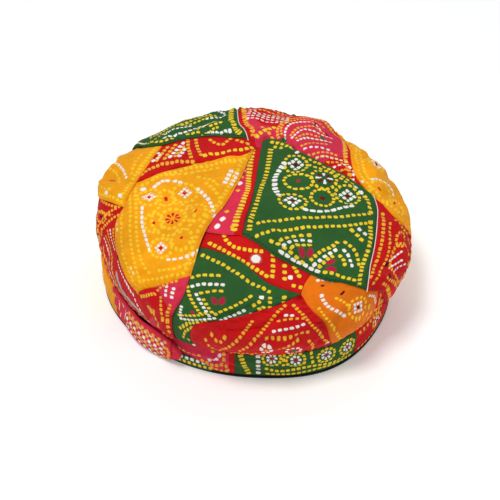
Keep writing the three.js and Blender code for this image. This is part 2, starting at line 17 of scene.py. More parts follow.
import bpy
import numpy as np
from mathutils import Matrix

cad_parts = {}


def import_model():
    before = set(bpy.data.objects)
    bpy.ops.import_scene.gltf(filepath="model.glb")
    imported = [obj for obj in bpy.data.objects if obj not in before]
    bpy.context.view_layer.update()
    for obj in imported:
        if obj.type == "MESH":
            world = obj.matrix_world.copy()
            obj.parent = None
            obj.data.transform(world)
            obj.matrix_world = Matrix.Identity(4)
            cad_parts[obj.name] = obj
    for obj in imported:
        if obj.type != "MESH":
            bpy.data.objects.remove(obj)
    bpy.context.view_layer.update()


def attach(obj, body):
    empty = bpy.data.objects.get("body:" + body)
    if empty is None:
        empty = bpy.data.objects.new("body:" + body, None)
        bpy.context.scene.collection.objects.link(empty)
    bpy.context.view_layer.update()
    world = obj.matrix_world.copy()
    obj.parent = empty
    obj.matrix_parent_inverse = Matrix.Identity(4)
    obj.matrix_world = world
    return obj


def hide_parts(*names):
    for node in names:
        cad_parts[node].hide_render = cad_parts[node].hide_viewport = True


log = logging.getLogger("turban")

MM = 0.001
BOX_MIDDLE = (0.6, -1.9)  # the turban stands this far over, so that the origin is under the middle of its box
Array = np.ndarray


class Cloth(Enum):
    """The cloths, each with the record's material slot."""

    GREEN = "green_cloth"
    ORANGE = "orange_cloth"
    RED = "red_cloth"
    PINK = "pink_cloth"
    LINING = "black_lining"


class Wrap(Enum):
    """The wraps of the crown, from the lowest up."""

    LEFT = "left"
    FRONT = "front"
    TOP = "top"
    SIDE = "side"
    BACK = "back"


class Side(Enum):
    """What a side of a patch is."""

    SEAM = "sewn to the next patch"
    HEM = "folded free edge"
    TUCK = "runs on under another wrap"
    NECK = "turned in over the band"


class Ink(Enum):
    """The print's colours, as sRGB shares."""

    YELLOW = (0.96, 0.82, 0.17)
    PALE_YELLOW = (1.0, 0.80, 0.17)
    AMBER = (0.96, 0.71, 0.20)
    CREAM = (0.98, 0.90, 0.66)
    GREY = (0.70, 0.68, 0.66)
    WHITE = (0.96, 0.95, 0.91)
    RED = (0.80, 0.04, 0.12)
    MAROON = (0.40, 0.02, 0.07)
    ROSE = (0.74, 0.10, 0.24)
    BLACK = (0.05, 0.03, 0.04)
    LEAF = (0.10, 0.40, 0.18)


def linear(colour: Sequence[float]) -> tuple[float, float, float]:
    """An sRGB colour as linear shares."""
    return tuple(c / 12.92 if c <= 0.04045 else ((c + 0.055) / 1.055) ** 2.4 for c in colour[:3])


def smooth(value: Array) -> Array:
    """Eases from 0 to 1."""
    t = np.clip(value, 0.0, 1.0)
    return t * t * (3 - 2 * t)


def catmull(a: Array, b: Array, c: Array, d: Array, t: Array) -> Array:
    """A Catmull-Rom curve between b and c."""
    return 0.5 * (
        2 * b + (c - a) * t + (2 * a - 5 * b + 4 * c - d) * t**2 + (3 * b - a - 3 * c + d) * t**3
    )


def spline(points: Iterable[Sequence[float]], count: int) -> Array:
    """Equal steps along a smooth curve through points.

    Args:
        points: places on the plan.
        count: number of steps.

    Returns:
        count + 1 places.
    """
    p = np.asarray(points, float)
    last = len(p) - 1
    if last < 1:
        return np.repeat(p, count + 1, axis=0)
    fine = np.linspace(0, last, last * 24 + 1)
    row = np.minimum(fine.astype(int), last - 1)
    t = (fine - row)[:, None]
    line = catmull(p[np.maximum(row - 1, 0)], p[row], p[row + 1], p[np.minimum(row + 2, last)], t)
    along = np.concatenate([[0], np.cumsum(np.linalg.norm(np.diff(line, axis=0), axis=1))])
    at = np.linspace(0, along[-1], count + 1)
    return np.stack([np.interp(at, along, line[:, k]) for k in range(2)], axis=1)


def new_object(name: str, data: bpy.types.ID) -> bpy.types.Object:
    """Makes an object and puts it in the scene."""
    made = bpy.data.objects.new(name, data)
    bpy.context.scene.collection.objects.link(made)
    return made


def face_area(top: Array) -> float:
    """The area of a grid of points, in square millimetres."""
    a, b = np.diff(top, axis=0)[:, :-1], np.diff(top, axis=1)[:-1]
    return float(np.linalg.norm(np.cross(a, b), axis=-1).sum())


def stand_for(made: bpy.types.Object, node: str, cloth: Cloth) -> None:
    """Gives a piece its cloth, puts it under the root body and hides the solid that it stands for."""
    made.data.materials.append(FABRICS.of(cloth))
    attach(made, "root")
    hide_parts(node)


def length_of(points: Array) -> float:
    """The length of a line."""
    return float(np.linalg.norm(np.diff(points, axis=0), axis=1).sum())


class PlanLine:
    """A line on the plan that distances and lengths are measured from."""

    def __init__(self, points: Iterable[Sequence[float]], steps: int = 120, lower: int = 0) -> None:
        """Makes the line smooth.

        Args:
            points: the places that it runs through.
            steps: how many straight steps stand for it.
            lower: the side of an edge on which the lower wrap runs on, 1 for left and -1 for right.
        """
        self.line = spline(points, steps)
        self.lower = lower
        self.along = np.concatenate([[0], np.cumsum(np.linalg.norm(np.diff(self.line, axis=0), axis=1))])

    def measure(self, xy: Array) -> tuple[Array, Array, Array]:
        """How places lie to the line.

        Args:
            xy: places on the plan, one a row.

        Returns:
            The signed distance (left of the line is positive), the length along it to the nearest point, and
            whether that nearest point is one of the line's ends.
        """
        a, d = self.line[:-1], np.diff(self.line, axis=0)
        size = np.maximum((d * d).sum(1), 1e-12)
        away, arc, end = (np.empty(len(xy)) for _ in range(3))
        for start in range(0, len(xy), 20000):
            p = xy[start : start + 20000]
            rel = p[:, None] - a[None]
            raw = (rel * d[None]).sum(2) / size
            share = np.clip(raw, 0, 1)
            off = rel - share[..., None] * d[None]
            far = np.hypot(off[..., 0], off[..., 1])
            best = far.argmin(1)
            at = np.arange(len(p))
            cross = d[best, 0] * rel[at, best, 1] - d[best, 1] * rel[at, best, 0]
            away[start : start + len(p)] = far[at, best] * np.where(cross < 0, -1, 1)
            arc[start : start + len(p)] = self.along[best] + share[at, best] * np.sqrt(size[best])
            ends = ((best == 0) & (raw[at, 0] < 0)) | ((best == len(a) - 1) & (raw[at, -1] > 1))
            end[start : start + len(p)] = ends
        return away, arc, end > 0.5


@dataclass(frozen=True)
class Bump:
    """A main dent (-) or swelling (+) of the crown on the plan."""

    x: float
    y: float
    radius: float
    rise: float


@dataclass(frozen=True)
class CrownForm:
    """The crown's form, with the same named sizes as in the part's source."""

    height: float = 98.0
    lean: float = 21.0
    lean_radius: float = 130.0
    neck_height: float = 23.0
    neck_inset: float = 8.0
    reach: float = 185.0
    bulge_share: float = 0.8
    spread: float = 1.3
    shoulder_round: float = 0.9
    crown_round: float = 0.56
    # For each 30 degrees: the band's face, the widest line and its height
    sections: tuple[tuple[float, float, float], ...] = (
        (117, 128, 48),
        (117, 126.5, 50),
        (118, 130, 58),
        (120, 131, 65),
        (123, 130, 67),
        (125, 130.5, 70),
        (127, 127.5, 66),
        (120, 123, 61),
        (116, 125, 56),
        (117, 127, 52),
        (124, 128, 50),
        (119, 127.5, 60),
    )
    bumps: tuple[Bump, ...] = (
        Bump(-52, 112, 46, -4.5),
        Bump(84, 84, 42, -3),
        Bump(84, -120, 30, 3.5),
        Bump(40, -98, 22, -2),
        Bump(-100, -12, 18, -1.5),
        Bump(132, -52, 26, 2),
        Bump(4, 47, 7, -2.2),
        Bump(-128, -45, 35, -4),
        Bump(-88, 76, 28, -7.5),
        Bump(62, 98, 16, 3),
        Bump(26, 100, 26, -3.5),
    )

    def section(self, azimuth: Array, column: int) -> Array:
        """A column of the sections at any azimuth."""
        values = np.array([row[column] for row in self.sections], float)
        count = len(values)
        place = np.mod(azimuth, 360.0) / (360.0 / count)
        row = np.floor(place).astype(int)
        a, b, c, d = (values[(row + step) % count] for step in (-1, 0, 1, 2))
        return catmull(a, b, c, d, place - row)

    def plain(self, x: Array, y: Array) -> Array:
        """Places on the plan as points on the crown's outer face, without its dents."""
        azimuth = np.degrees(np.arctan2(y, x))
        share = np.hypot(x, y) / self.reach
        band, bulge, height = (self.section(azimuth, k) for k in range(3))
        neck = band - self.neck_inset
        over = np.clip(share / self.bulge_share, 0, 1) ** self.spread * math.pi / 2
        under = np.clip((share - self.bulge_share) / (1 - self.bulge_share), 0, 1.0) * math.pi / 2
        high = share <= self.bulge_share
        radius = np.where(
            high, bulge * np.sin(over) ** self.shoulder_round, neck + (bulge - neck) * np.cos(under)
        )
        top = self.height + self.lean * np.sin(np.radians(azimuth)) * radius / self.lean_radius
        arch = np.clip(np.cos(over), 0, 1) ** self.crown_round
        z = np.where(
            high, height + (top - height) * arch, height - (height - self.neck_height) * np.sin(under)
        )
        turn = np.radians(azimuth)
        return np.stack([radius * np.cos(turn), radius * np.sin(turn), z], -1)

    def normal(self, x: Array, y: Array, step: float = 0.7) -> Array:
        """The outward direction at places on the plan."""
        n = np.cross(
            self.plain(x + step, y) - self.plain(x - step, y),
            self.plain(x, y + step) - self.plain(x, y - step)
        )
        return n / np.maximum(np.linalg.norm(n, axis=-1, keepdims=True), 1e-9)

    def above_bulge(self, x: Array, y: Array) -> Array:
        """1 over the widest line, down to 0 where the crown turns in."""
        return 1 - smooth((np.hypot(x, y) - 150) / 18)

    def point(self, x: Array, y: Array, raised: Array) -> Array:
        """Points raised off the crown's outer face, in millimetres."""
        rise = sum(b.rise * np.exp(-2 * ((x - b.x) ** 2 + (y - b.y) ** 2) / b.radius**2) for b in self.bumps)
        return self.plain(x, y) + self.normal(x, y) * (raised + rise * self.above_bulge(x, y))[..., None]

    def under_height(self, azimuth: Array, radius: Array) -> Array:
        """The height of the crown's underside at a radius."""
        band, bulge, height = (self.section(azimuth, k) for k in range(3))
        neck = band - self.neck_inset
        share = np.clip((radius - neck) / (bulge - neck), 0, 1)
        return height - (height - self.neck_height) * np.sqrt(1 - share**2)

    def under_radius(self, azimuth: Array, z: Array) -> Array:
        """The radius of the crown's underside at a height."""
        band, bulge, height = (self.section(azimuth, k) for k in range(3))
        neck = band - self.neck_inset
        share = np.clip((height - z) / (height - self.neck_height), 0, 1)
        return neck + (bulge - neck) * np.sqrt(1 - share**2)


@dataclass(frozen=True)
class Layering:
    """How thick the cloth is and how the wraps lie over one another."""

    cloth: float = 1.6
    layer: float = 2.1
    tuck: float = 9.0
    crest: float = 2.5
    ramp: float = 15.0
    edge_round: float = 0.8
    seam_gap: float = 0.06
    puff: float = 1.7
    gather: tuple[float, float] = (4.0, 47.0)  # where all the wraps run together


class CrownPlan:
    """The edges and seams on the cloth's plan, and how much each wrap is raised."""

    EDGES: dict[str, tuple[int, tuple[tuple[float, float], ...]]] = {
        "diagonal": (
            -1,
            (
                (4, 46), (-2, 34), (-7, 20), (-16, -1), (-24, -22), (-35, -45), (-42, -72), (-46, -86),
                (-55, -108),
                (-75, -135), (-93, -160),
            ),
        ),
        "top": (
            1,
            (
                (-46, -41), (-35, -45), (-20, -48), (-8, -49), (3, -55), (16, -65), (29, -72), (51, -83),
                (66, -86),
                (88, -94), (107, -96), (135, -92), (165, -84),
            ),
        ),
        "back": (
            -1,
            (
                (4, 46), (-4, 51), (-29, 57), (-43, 56), (-56, 54), (-70, 51), (-86, 57), (-97, 71),
                (-118, 86),
                (-151, 107),
            ),
        ),
        "side": (1, ((-174, 63), (-160, 48), (-145, 25), (-129, 6), (-111, -5), (-99, -12))),
        "free": (
            1,
            (
                (-99, -12), (-109, -28), (-113, -45), (-113, -60), (-111, -75), (-107, -91), (-100, -104),
                (-94, -119), (-96, -136), (-106, -152),
            ),
        ),
    }
    SEAMS: dict[str, tuple[tuple[float, float], ...]] = {
        "stripToGreen": ((7, 48), (4, 24), (1, -4), (-5, -31), (-8, -49)),
        "redToLowerGreen": ((-38, -57), (-27, -60), (-8, -69), (8, -84), (19, -90), (34, -94)),
        "lowerGreenToRed": (
            (34, -94), (18, -106), (-3, -117), (-20, -125), (-34, -130), (-48, -135.5), (-58, -142),
            (-62, -154), (-63.9, -173.6),
        ),
        "redToOrange": ((34, -94), (46, -114), (69, -138), (88, -150), (106, -152)),
        "stripEnd": ((40, -78), (36, -86), (34, -94)),
        "orangeToSide": ((107, -96), (124, -108), (142, -118)),
        "greenToRed": ((91, 0), (93, -12), (92, -28), (90, -50), (87, -74), (88, -94)),
        "greenToPink": ((7, 48), (8, 53), (14, 55), (24, 52), (35, 43), (51, 33), (67, 22), (84, 8)),
        "greenToOrange": ((84, 8), (91, 0)),
        "orangeToRed": ((91, 0), (98, -5), (110, -15), (125, -20), (150, -24), (181, -38)),
        "pinkToOrange": ((84, 8), (78, 22), (77, 40), (78, 60), (75, 80), (63, 95), (51, 102)),
        "backToOrange": ((51, 102), (50, 125), (56, 150), (66, 173)),
        "flapToPink": ((-4, 51), (-7, 62), (-11, 74), (-13, 106)),
        "flapToBack": ((-13, 106), (-15, 140), (-19, 184)),
        "pinkToBack": ((51, 102), (39, 110), (22, 114), (4, 112), (-13, 106)),
        "sideToWedge": ((-70, 50), (-76, 36), (-81, 25), (-88, 12)),
        "sideToOrange": ((-88, 12), (-93, 0), (-99, -12)),
        "wedgeToOrange": (
            (1, 42), (-7, 35), (-23, 33), (-36, 29), (-56, 23), (-70, 19), (-80, 14), (-88, 12)
        ),
        "orangeToPink": ((-44, -82), (-65, -90), (-101, -103)),
        "leftCloth": ((-99, -12), (-140, -25), (-182, -32)),
    }
    COVERED_BY: dict[Wrap, tuple[str, ...]] = {
        Wrap.LEFT: ("side", "free"),
        Wrap.FRONT: ("diagonal", "top"),
        Wrap.TOP: ("diagonal",),
        Wrap.SIDE: ("back",),
        Wrap.BACK: (),
    }

    def __init__(self, form: CrownForm, layering: Layering) -> None:
        """Makes the edges into lines that distances can be measured from."""
        self.form = form
        self.layering = layering
        self.lines = {name: PlanLine(points, 120, lower) for name, (lower, points) in self.EDGES.items()}
        self.sewn = PlanLine(self.SEAMS["greenToPink"], 60)

    def rise(self, name: str, xy: Array) -> Array:
        """How far a wrap is raised along an edge, as a share of its full rise."""
        away = np.abs(self.lines[name].measure(xy)[0])
        lay = self.layering
        before_neck = 1 - smooth((np.hypot(xy[:, 0], xy[:, 1]) - 165) / 15)
        return (1 - smooth((away - lay.tuck - lay.crest) / lay.ramp)) * before_neck

    def lift(self, wrap: Wrap, xy: Array) -> Array:
        """How much a wrap is raised at places on the plan, in millimetres."""
        away = np.hypot(*(xy - self.layering.gather).T)
        return self.full_lift(wrap, xy) * smooth((away - 1.5) / 12)

    def full_lift(self, wrap: Wrap, xy: Array) -> Array:
        """How much a wrap would be raised if the wraps did not run together behind the front."""
        layer = self.layering.layer
        if wrap in (Wrap.LEFT, Wrap.FRONT):
            return np.zeros(len(xy))
        if wrap is Wrap.TOP:
            return layer * self.rise("top", xy)
        if wrap is Wrap.SIDE:
            over_front = (layer + self.full_lift(Wrap.TOP, xy)) * self.rise("diagonal", xy)
            return np.maximum(over_front, layer * np.maximum(self.rise("side", xy), self.rise("free", xy)))
        from_seam = np.abs(self.sewn.measure(xy)[0])
        return (layer + self.full_lift(Wrap.SIDE, xy)) * self.rise("back", xy) * smooth(from_seam / 14)

    def open_share(self, wrap: Wrap, xy: Array) -> Array:
        """1 where a wrap lies open, down to 0 where another wrap covers it or it turns in over the band."""
        share = self.form.above_bulge(xy[:, 0], xy[:, 1])
        for name in self.COVERED_BY[wrap]:
            share = share * (1 - self.rise(name, xy))
        return share

    def place_on(self, name: str, place: Sequence[float]) -> int:
        """The step of an edge that a place is nearest to."""
        return int(np.linalg.norm(self.lines[name].line - np.asarray(place, float), axis=1).argmin())

    def along(self, name: str, start: Sequence[float], end: Sequence[float], under: bool = False) -> Array:
        """Part of an edge, from one place to another.

        Args:
            name: the edge.
            start: the place where it begins.
            end: the place where it ends.
            under: whether it is the side of the lower wrap, which runs on under the edge by the tuck.

        Returns:
            Places on the plan.
        """
        line = self.lines[name].line
        first, last = self.place_on(name, start), self.place_on(name, end)
        step = 1 if first < last else -1
        out = []
        for i in range(first, last + step, step):
            if not under:
                out.append(line[i])
                continue
            direction = line[min(len(line) - 1, i + 1)] - line[max(0, i - 1)]
            direction = direction / np.linalg.norm(direction)
            across = np.array([-direction[1], direction[0]]) * self.lines[name].lower
            share = i / (len(line) - 1)
            ends = min(1.0, share * 5, (1 - share) * 5)
            fade = 1 - float(smooth(np.array((np.hypot(*line[i]) - 140) / 20)))
            out.append(line[i] + across * self.layering.tuck * max(0.0, ends) * fade)
        return np.array(out)

    def under(self, name: str, start: Sequence[float], end: Sequence[float]) -> Array:
        """The side of a lower wrap along an edge."""
        return self.along(name, start, end, True)

    def tucked(self, name: str, place: Sequence[float]) -> Array:
        """The corner of a lower wrap under an edge."""
        return self.under(name, place, place)[:1]

    def seam(self, name: str) -> Array:
        """A seam, from its first place to its last, in short steps that its two patches share."""
        points = self.SEAMS[name]
        return spline(points, max(2, round(length_of(np.array(points, float)) / 1.2)))

    def back(self, name: str) -> Array:
        """A seam the other way round."""
        return self.seam(name)[::-1]

    def neck_place(self, azimuth: float) -> tuple[float, float]:
        """A place on the neck."""
        turn = math.radians(azimuth)
        return self.form.reach * math.cos(turn), self.form.reach * math.sin(turn)

    def neck(self, start: float, end: float) -> Array:
        """Part of the neck between two azimuths."""
        steps = math.ceil(abs(end - start) / 1.5)
        return np.array([self.neck_place(start + (end - start) * i / steps) for i in range(steps + 1)])


# Printed motifs. Each gives, for places in print coordinates (mm), which of them it takes
# and where its dots are.


@dataclass(frozen=True)
class Dot:
    """A printed dot or dash: its length along its row, its width, its ink and how square it is."""

    length: float
    width: float
    ink: Ink
    square: float = 3.4


ROW = Dot(2.7, 3.0, Ink.YELLOW)
LONG_ROW = Dot(3.3, 2.5, Ink.YELLOW)
WHITE_ROW = Dot(3.1, 2.8, Ink.WHITE)
AMBER_ROW = Dot(2.8, 2.7, Ink.AMBER)
PALE_ROW = Dot(2.8, 2.6, Ink.PALE_YELLOW)
BAR = Dot(2.1, 4.5, Ink.YELLOW)


@dataclass
class Hit:
    """Where a motif prints: its faces, a place in them (cells along, mm across) and its cell's pitch."""

    taken: Array
    local: Callable[[Array, Array], tuple[Array, Array]]
    pitch: float


@dataclass(frozen=True)
class Motif:
    """A repeat of one dot along a row, round a ring or over a block."""

    dot: Dot

    def margin(self) -> float:
        """How far from the dots' middle line the motif takes the cloth."""
        return self.dot.width / 2 + 0.9

    def hit(self, centres: Array) -> Hit:
        """Which face centres the motif takes."""
        raise NotImplementedError


@dataclass(frozen=True)
class Row(Motif):
    """Dots along a line, or beside it at an offset (left of the line is positive)."""

    points: tuple[tuple[float, float], ...] = ()
    pitch: float = 5.0
    offset: float = 0.0
    trim: float = 0.0
    steps: int = 90

    def hit(self, centres: Array) -> Hit:
        """Which face centres lie on the row."""
        line = PlanLine(self.points, self.steps)
        total = line.along[-1]
        away, arc, end = line.measure(centres)
        low, high = self.trim, total - self.trim
        inside = ~end | (np.abs(away) < 1.0)
        taken = (np.abs(away - self.offset) < self.margin()) & inside & (arc >= low) & (arc <= high)
        count = max(1, round((high - low) / self.pitch))
        pitch = (high - low) / count

        def local(xy: Array, _: Array) -> tuple[Array, Array]:
            off, at = line.measure(xy)[:2]
            return (at - low) / pitch, off - self.offset

        return Hit(taken, local, pitch)


@dataclass(frozen=True)
class Ring(Motif):
    """Dots round a centre, on a circle or a turned ellipse, or on part of one."""

    centre: tuple[float, float] = (0, 0)
    radii: tuple[float, float] = (10, 10)
    count: int = 12
    turn: float = 0.0
    start: float = 0.0
    end: float = 360.0

    def frame(self, xy: Array) -> tuple[Array, Array]:
        """The angle in degrees and the distance from the ring's line."""
        turn = math.radians(self.turn)
        dx, dy = xy[:, 0] - self.centre[0], xy[:, 1] - self.centre[1]
        a = (dx * math.cos(turn) + dy * math.sin(turn)) / self.radii[0]
        b = (-dx * math.sin(turn) + dy * math.cos(turn)) / self.radii[1]
        size = np.hypot(a, b)
        real = np.hypot(dx, dy) / np.maximum(size, 1e-6)
        return np.degrees(np.arctan2(b, a)) % 360, (size - 1) * real

    def hit(self, centres: Array) -> Hit:
        """Which face centres lie on the ring."""
        angle, off = self.frame(centres)
        taken = np.abs(off) < min(self.margin(), min(self.radii))
        taken &= (angle - self.start) % 360 <= self.end - self.start
        around = math.pi * (self.radii[0] + self.radii[1])

        def local(xy: Array, face: Array) -> tuple[Array, Array]:
            turned, away = self.frame(xy)
            near = (turned - angle[face] + 180) % 360 - 180 + angle[face]
            return near / 360 * self.count + 0.5, away

        return Hit(taken, local, around / self.count)


@dataclass(frozen=True)
class Block(Motif):
    """Dots in rows and columns about a centre. One dot alone is a block of 1 by 1."""

    centre: tuple[float, float] = (0, 0)
    columns: int = 1
    rows: int = 1
    pitch: float = 5.4
    row_pitch: float = 5.4
    turn: float = 0.0

    def frame(self, xy: Array) -> tuple[Array, Array]:
        """Places along and across the block's rows."""
        turn = math.radians(self.turn)
        dx, dy = xy[:, 0] - self.centre[0], xy[:, 1] - self.centre[1]
        return dx * math.cos(turn) + dy * math.sin(turn), -dx * math.sin(turn) + dy * math.cos(turn)

    def hit(self, centres: Array) -> Hit:
        """Which face centres lie on the block."""
        a, b = self.frame(centres)
        row = np.clip(np.round(b / self.row_pitch + (self.rows - 1) / 2), 0, self.rows - 1)
        across = (row - (self.rows - 1) / 2) * self.row_pitch
        half = self.columns * self.pitch / 2
        taken = (np.abs(a) < half) & (np.abs(b - across) < self.margin())
        if self.columns == 1:
            taken &= np.abs(a) < self.dot.length / 2 + 1.2

        def local(xy: Array, face: Array) -> tuple[Array, Array]:
            along, side = self.frame(xy)
            return along / self.pitch + self.columns / 2, side - across[face]

        return Hit(taken, local, self.pitch)


def spot(x: float, y: float, length: float, width: float, ink: Ink, turn: float = 0.0) -> Block:
    """One dot."""
    return Block(Dot(length, width, ink), (x, y), pitch=24.0, turn=turn)


def row(dot: Dot, pitch: float, *points: tuple[float, float]) -> Row:
    """Dots along a line through some places."""
    return Row(dot, points, pitch)


def diamond(x: float, y: float, turn: float, centre: Ink = Ink.MAROON, size: float = 1.0) -> list[Motif]:
    """A square of nine white dots, the middle one dark."""
    return [
        spot(x, y, 2.9, 2.9, centre, turn),
        Block(Dot(2.7 * size, 2.7 * size, Ink.WHITE), (x, y), 3, 3, 3.4 * size, 3.4 * size, turn),
    ]


def petals(x: float, y: float, inks: tuple[Ink, ...], size: float = 1.0) -> list[Motif]:
    """A flower of eight narrow petals, in one ink or in two by turns."""
    count = 8 // len(inks)
    dot_sizes = (1.9 * size, 4.0 * size)
    radii = (4.2 * size, 4.2 * size)
    return [Ring(Dot(*dot_sizes, ink), (x, y), radii, count, 45.0 * k) for k, ink in enumerate(inks)]


def flower(x: float, y: float, count: int, ink: Ink, size: float = 1.0) -> list[Motif]:
    """A flower of round petals about an open middle."""
    return [Ring(Dot(2.6 * size, 2.8 * size, ink), (x, y), (3.6 * size, 3.6 * size), count)]


def tears(x: float, y: float, turn: float) -> list[Motif]:
    """Two rose drops beside each other."""
    c, s = math.cos(math.radians(turn)), math.sin(math.radians(turn))
    drop = Dot(7.8, 4.0, Ink.ROSE, 1.6)
    return [
        Block(drop, (x - 2.9 * s, y + 2.9 * c), pitch=24.0, turn=turn + 17),
        Block(drop, (x + 2.9 * s, y - 2.9 * c), pitch=24.0, turn=turn - 17),
    ]


def paisley(x: float, y: float, turn: float, size: float = 1.0) -> list[Motif]:
    """A drop of three dotted rings round two rose drops."""
    out = tears(x, y, turn)
    for k, dot in enumerate((ROW, WHITE_ROW, ROW)):
        long, wide = (9 + 5.0 * k) * size, (6.4 + 4.8 * k) * size
        out.append(Ring(dot, (x, y), (long, wide), max(8, round(math.pi * (long + wide) / 4.4)), turn))
    return out


def medallion(x: float, y: float, radii: tuple[float, float], ring: Dot) -> list[Motif]:
    """A large printed ring with a flower and four dotted rosettes in it."""
    out = petals(x, y, (Ink.MAROON,))
    out.append(Ring(ring, (x, y), (8.8, 8.8), 13))
    for k in range(4):
        turn = 45.0 + 90.0 * k
        a = math.radians(turn)
        at = (x + radii[0] * 0.66 * math.cos(a), y + radii[1] * 0.66 * math.sin(a))
        out += diamond(*at, turn)
        out.append(Ring(ring, at, (8.4, 8.4), 12))
    out.append(Ring(ring, (x, y), radii, round(math.pi * sum(radii) / 4.6)))
    return out


@dataclass
class Patch:
    """One sewn patch of the crown."""

    name: str
    wrap: Wrap
    cloth: Cloth
    sides: list[Array]
    kinds: tuple[Side, Side, Side, Side]
    motifs: list[Motif] = field(default_factory=list)
    borders: tuple[tuple[int, float, Dot, float], ...] = ()
    zones: tuple[tuple[int, float], ...] = ()
    discs: tuple[tuple[float, float, float], ...] = ()
    held: str = "laid"


@dataclass(frozen=True)
class Crease:
    """A sharp fold pressed into the crown along a line on the plan."""

    points: tuple[tuple[float, float], ...]
    depth: float
    width: float


CREASES = (
    Crease(((-50, -120), (-34, -124), (-14, -118), (4, -106)), 1.5, 3.0),
    Crease(((-56, -132), (-40, -131), (-24, -128)), 1.2, 2.6),
    Crease(((-70, -146), (-62, -128), (-52, -112)), 1.2, 3.4),
    Crease(((-20, -142), (4, -134), (22, -118)), 1.1, 3.2),
    Crease(((2, -160), (14, -146), (30, -138)), 1.0, 4.0),
    Crease(((52, -158), (60, -142), (58, -128)), 1.0, 3.6),
    Crease(((74, -112), (92, -118), (112, -112)), 1.0, 4.4),
    Crease(((-6, 40), (-22, 20), (-40, 8)), 0.7, 3.4),
    Crease(((2, 40), (-1, 18), (-8, -6)), 0.6, 2.6),
    Crease(((6, 44), (22, 34), (36, 22)), 0.5, 3.6),
    Crease(((-60, 60), (-40, 74), (-18, 80)), 1.0, 4.5),
    Crease(((-84, 72), (-60, 88), (-30, 98)), 1.1, 5.0),
    Crease(((-110, 96), (-84, 112), (-50, 118)), 1.0, 5.0),
    Crease(((96, 20), (112, 34), (128, 60)), 0.9, 4.6),
    Crease(((84, 46), (104, 66), (112, 96)), 0.8, 4.6),
    Crease(((120, -34), (134, -48), (146, -70)), 1.0, 4.0),
    Crease(((104, -24), (112, -48), (110, -74)), 0.8, 4.0),
    Crease(((-96, 20), (-118, 26), (-140, 42)), 0.9, 4.0),
    Crease(((-104, 40), (-122, 56), (-136, 78)), 0.8, 4.0),
)


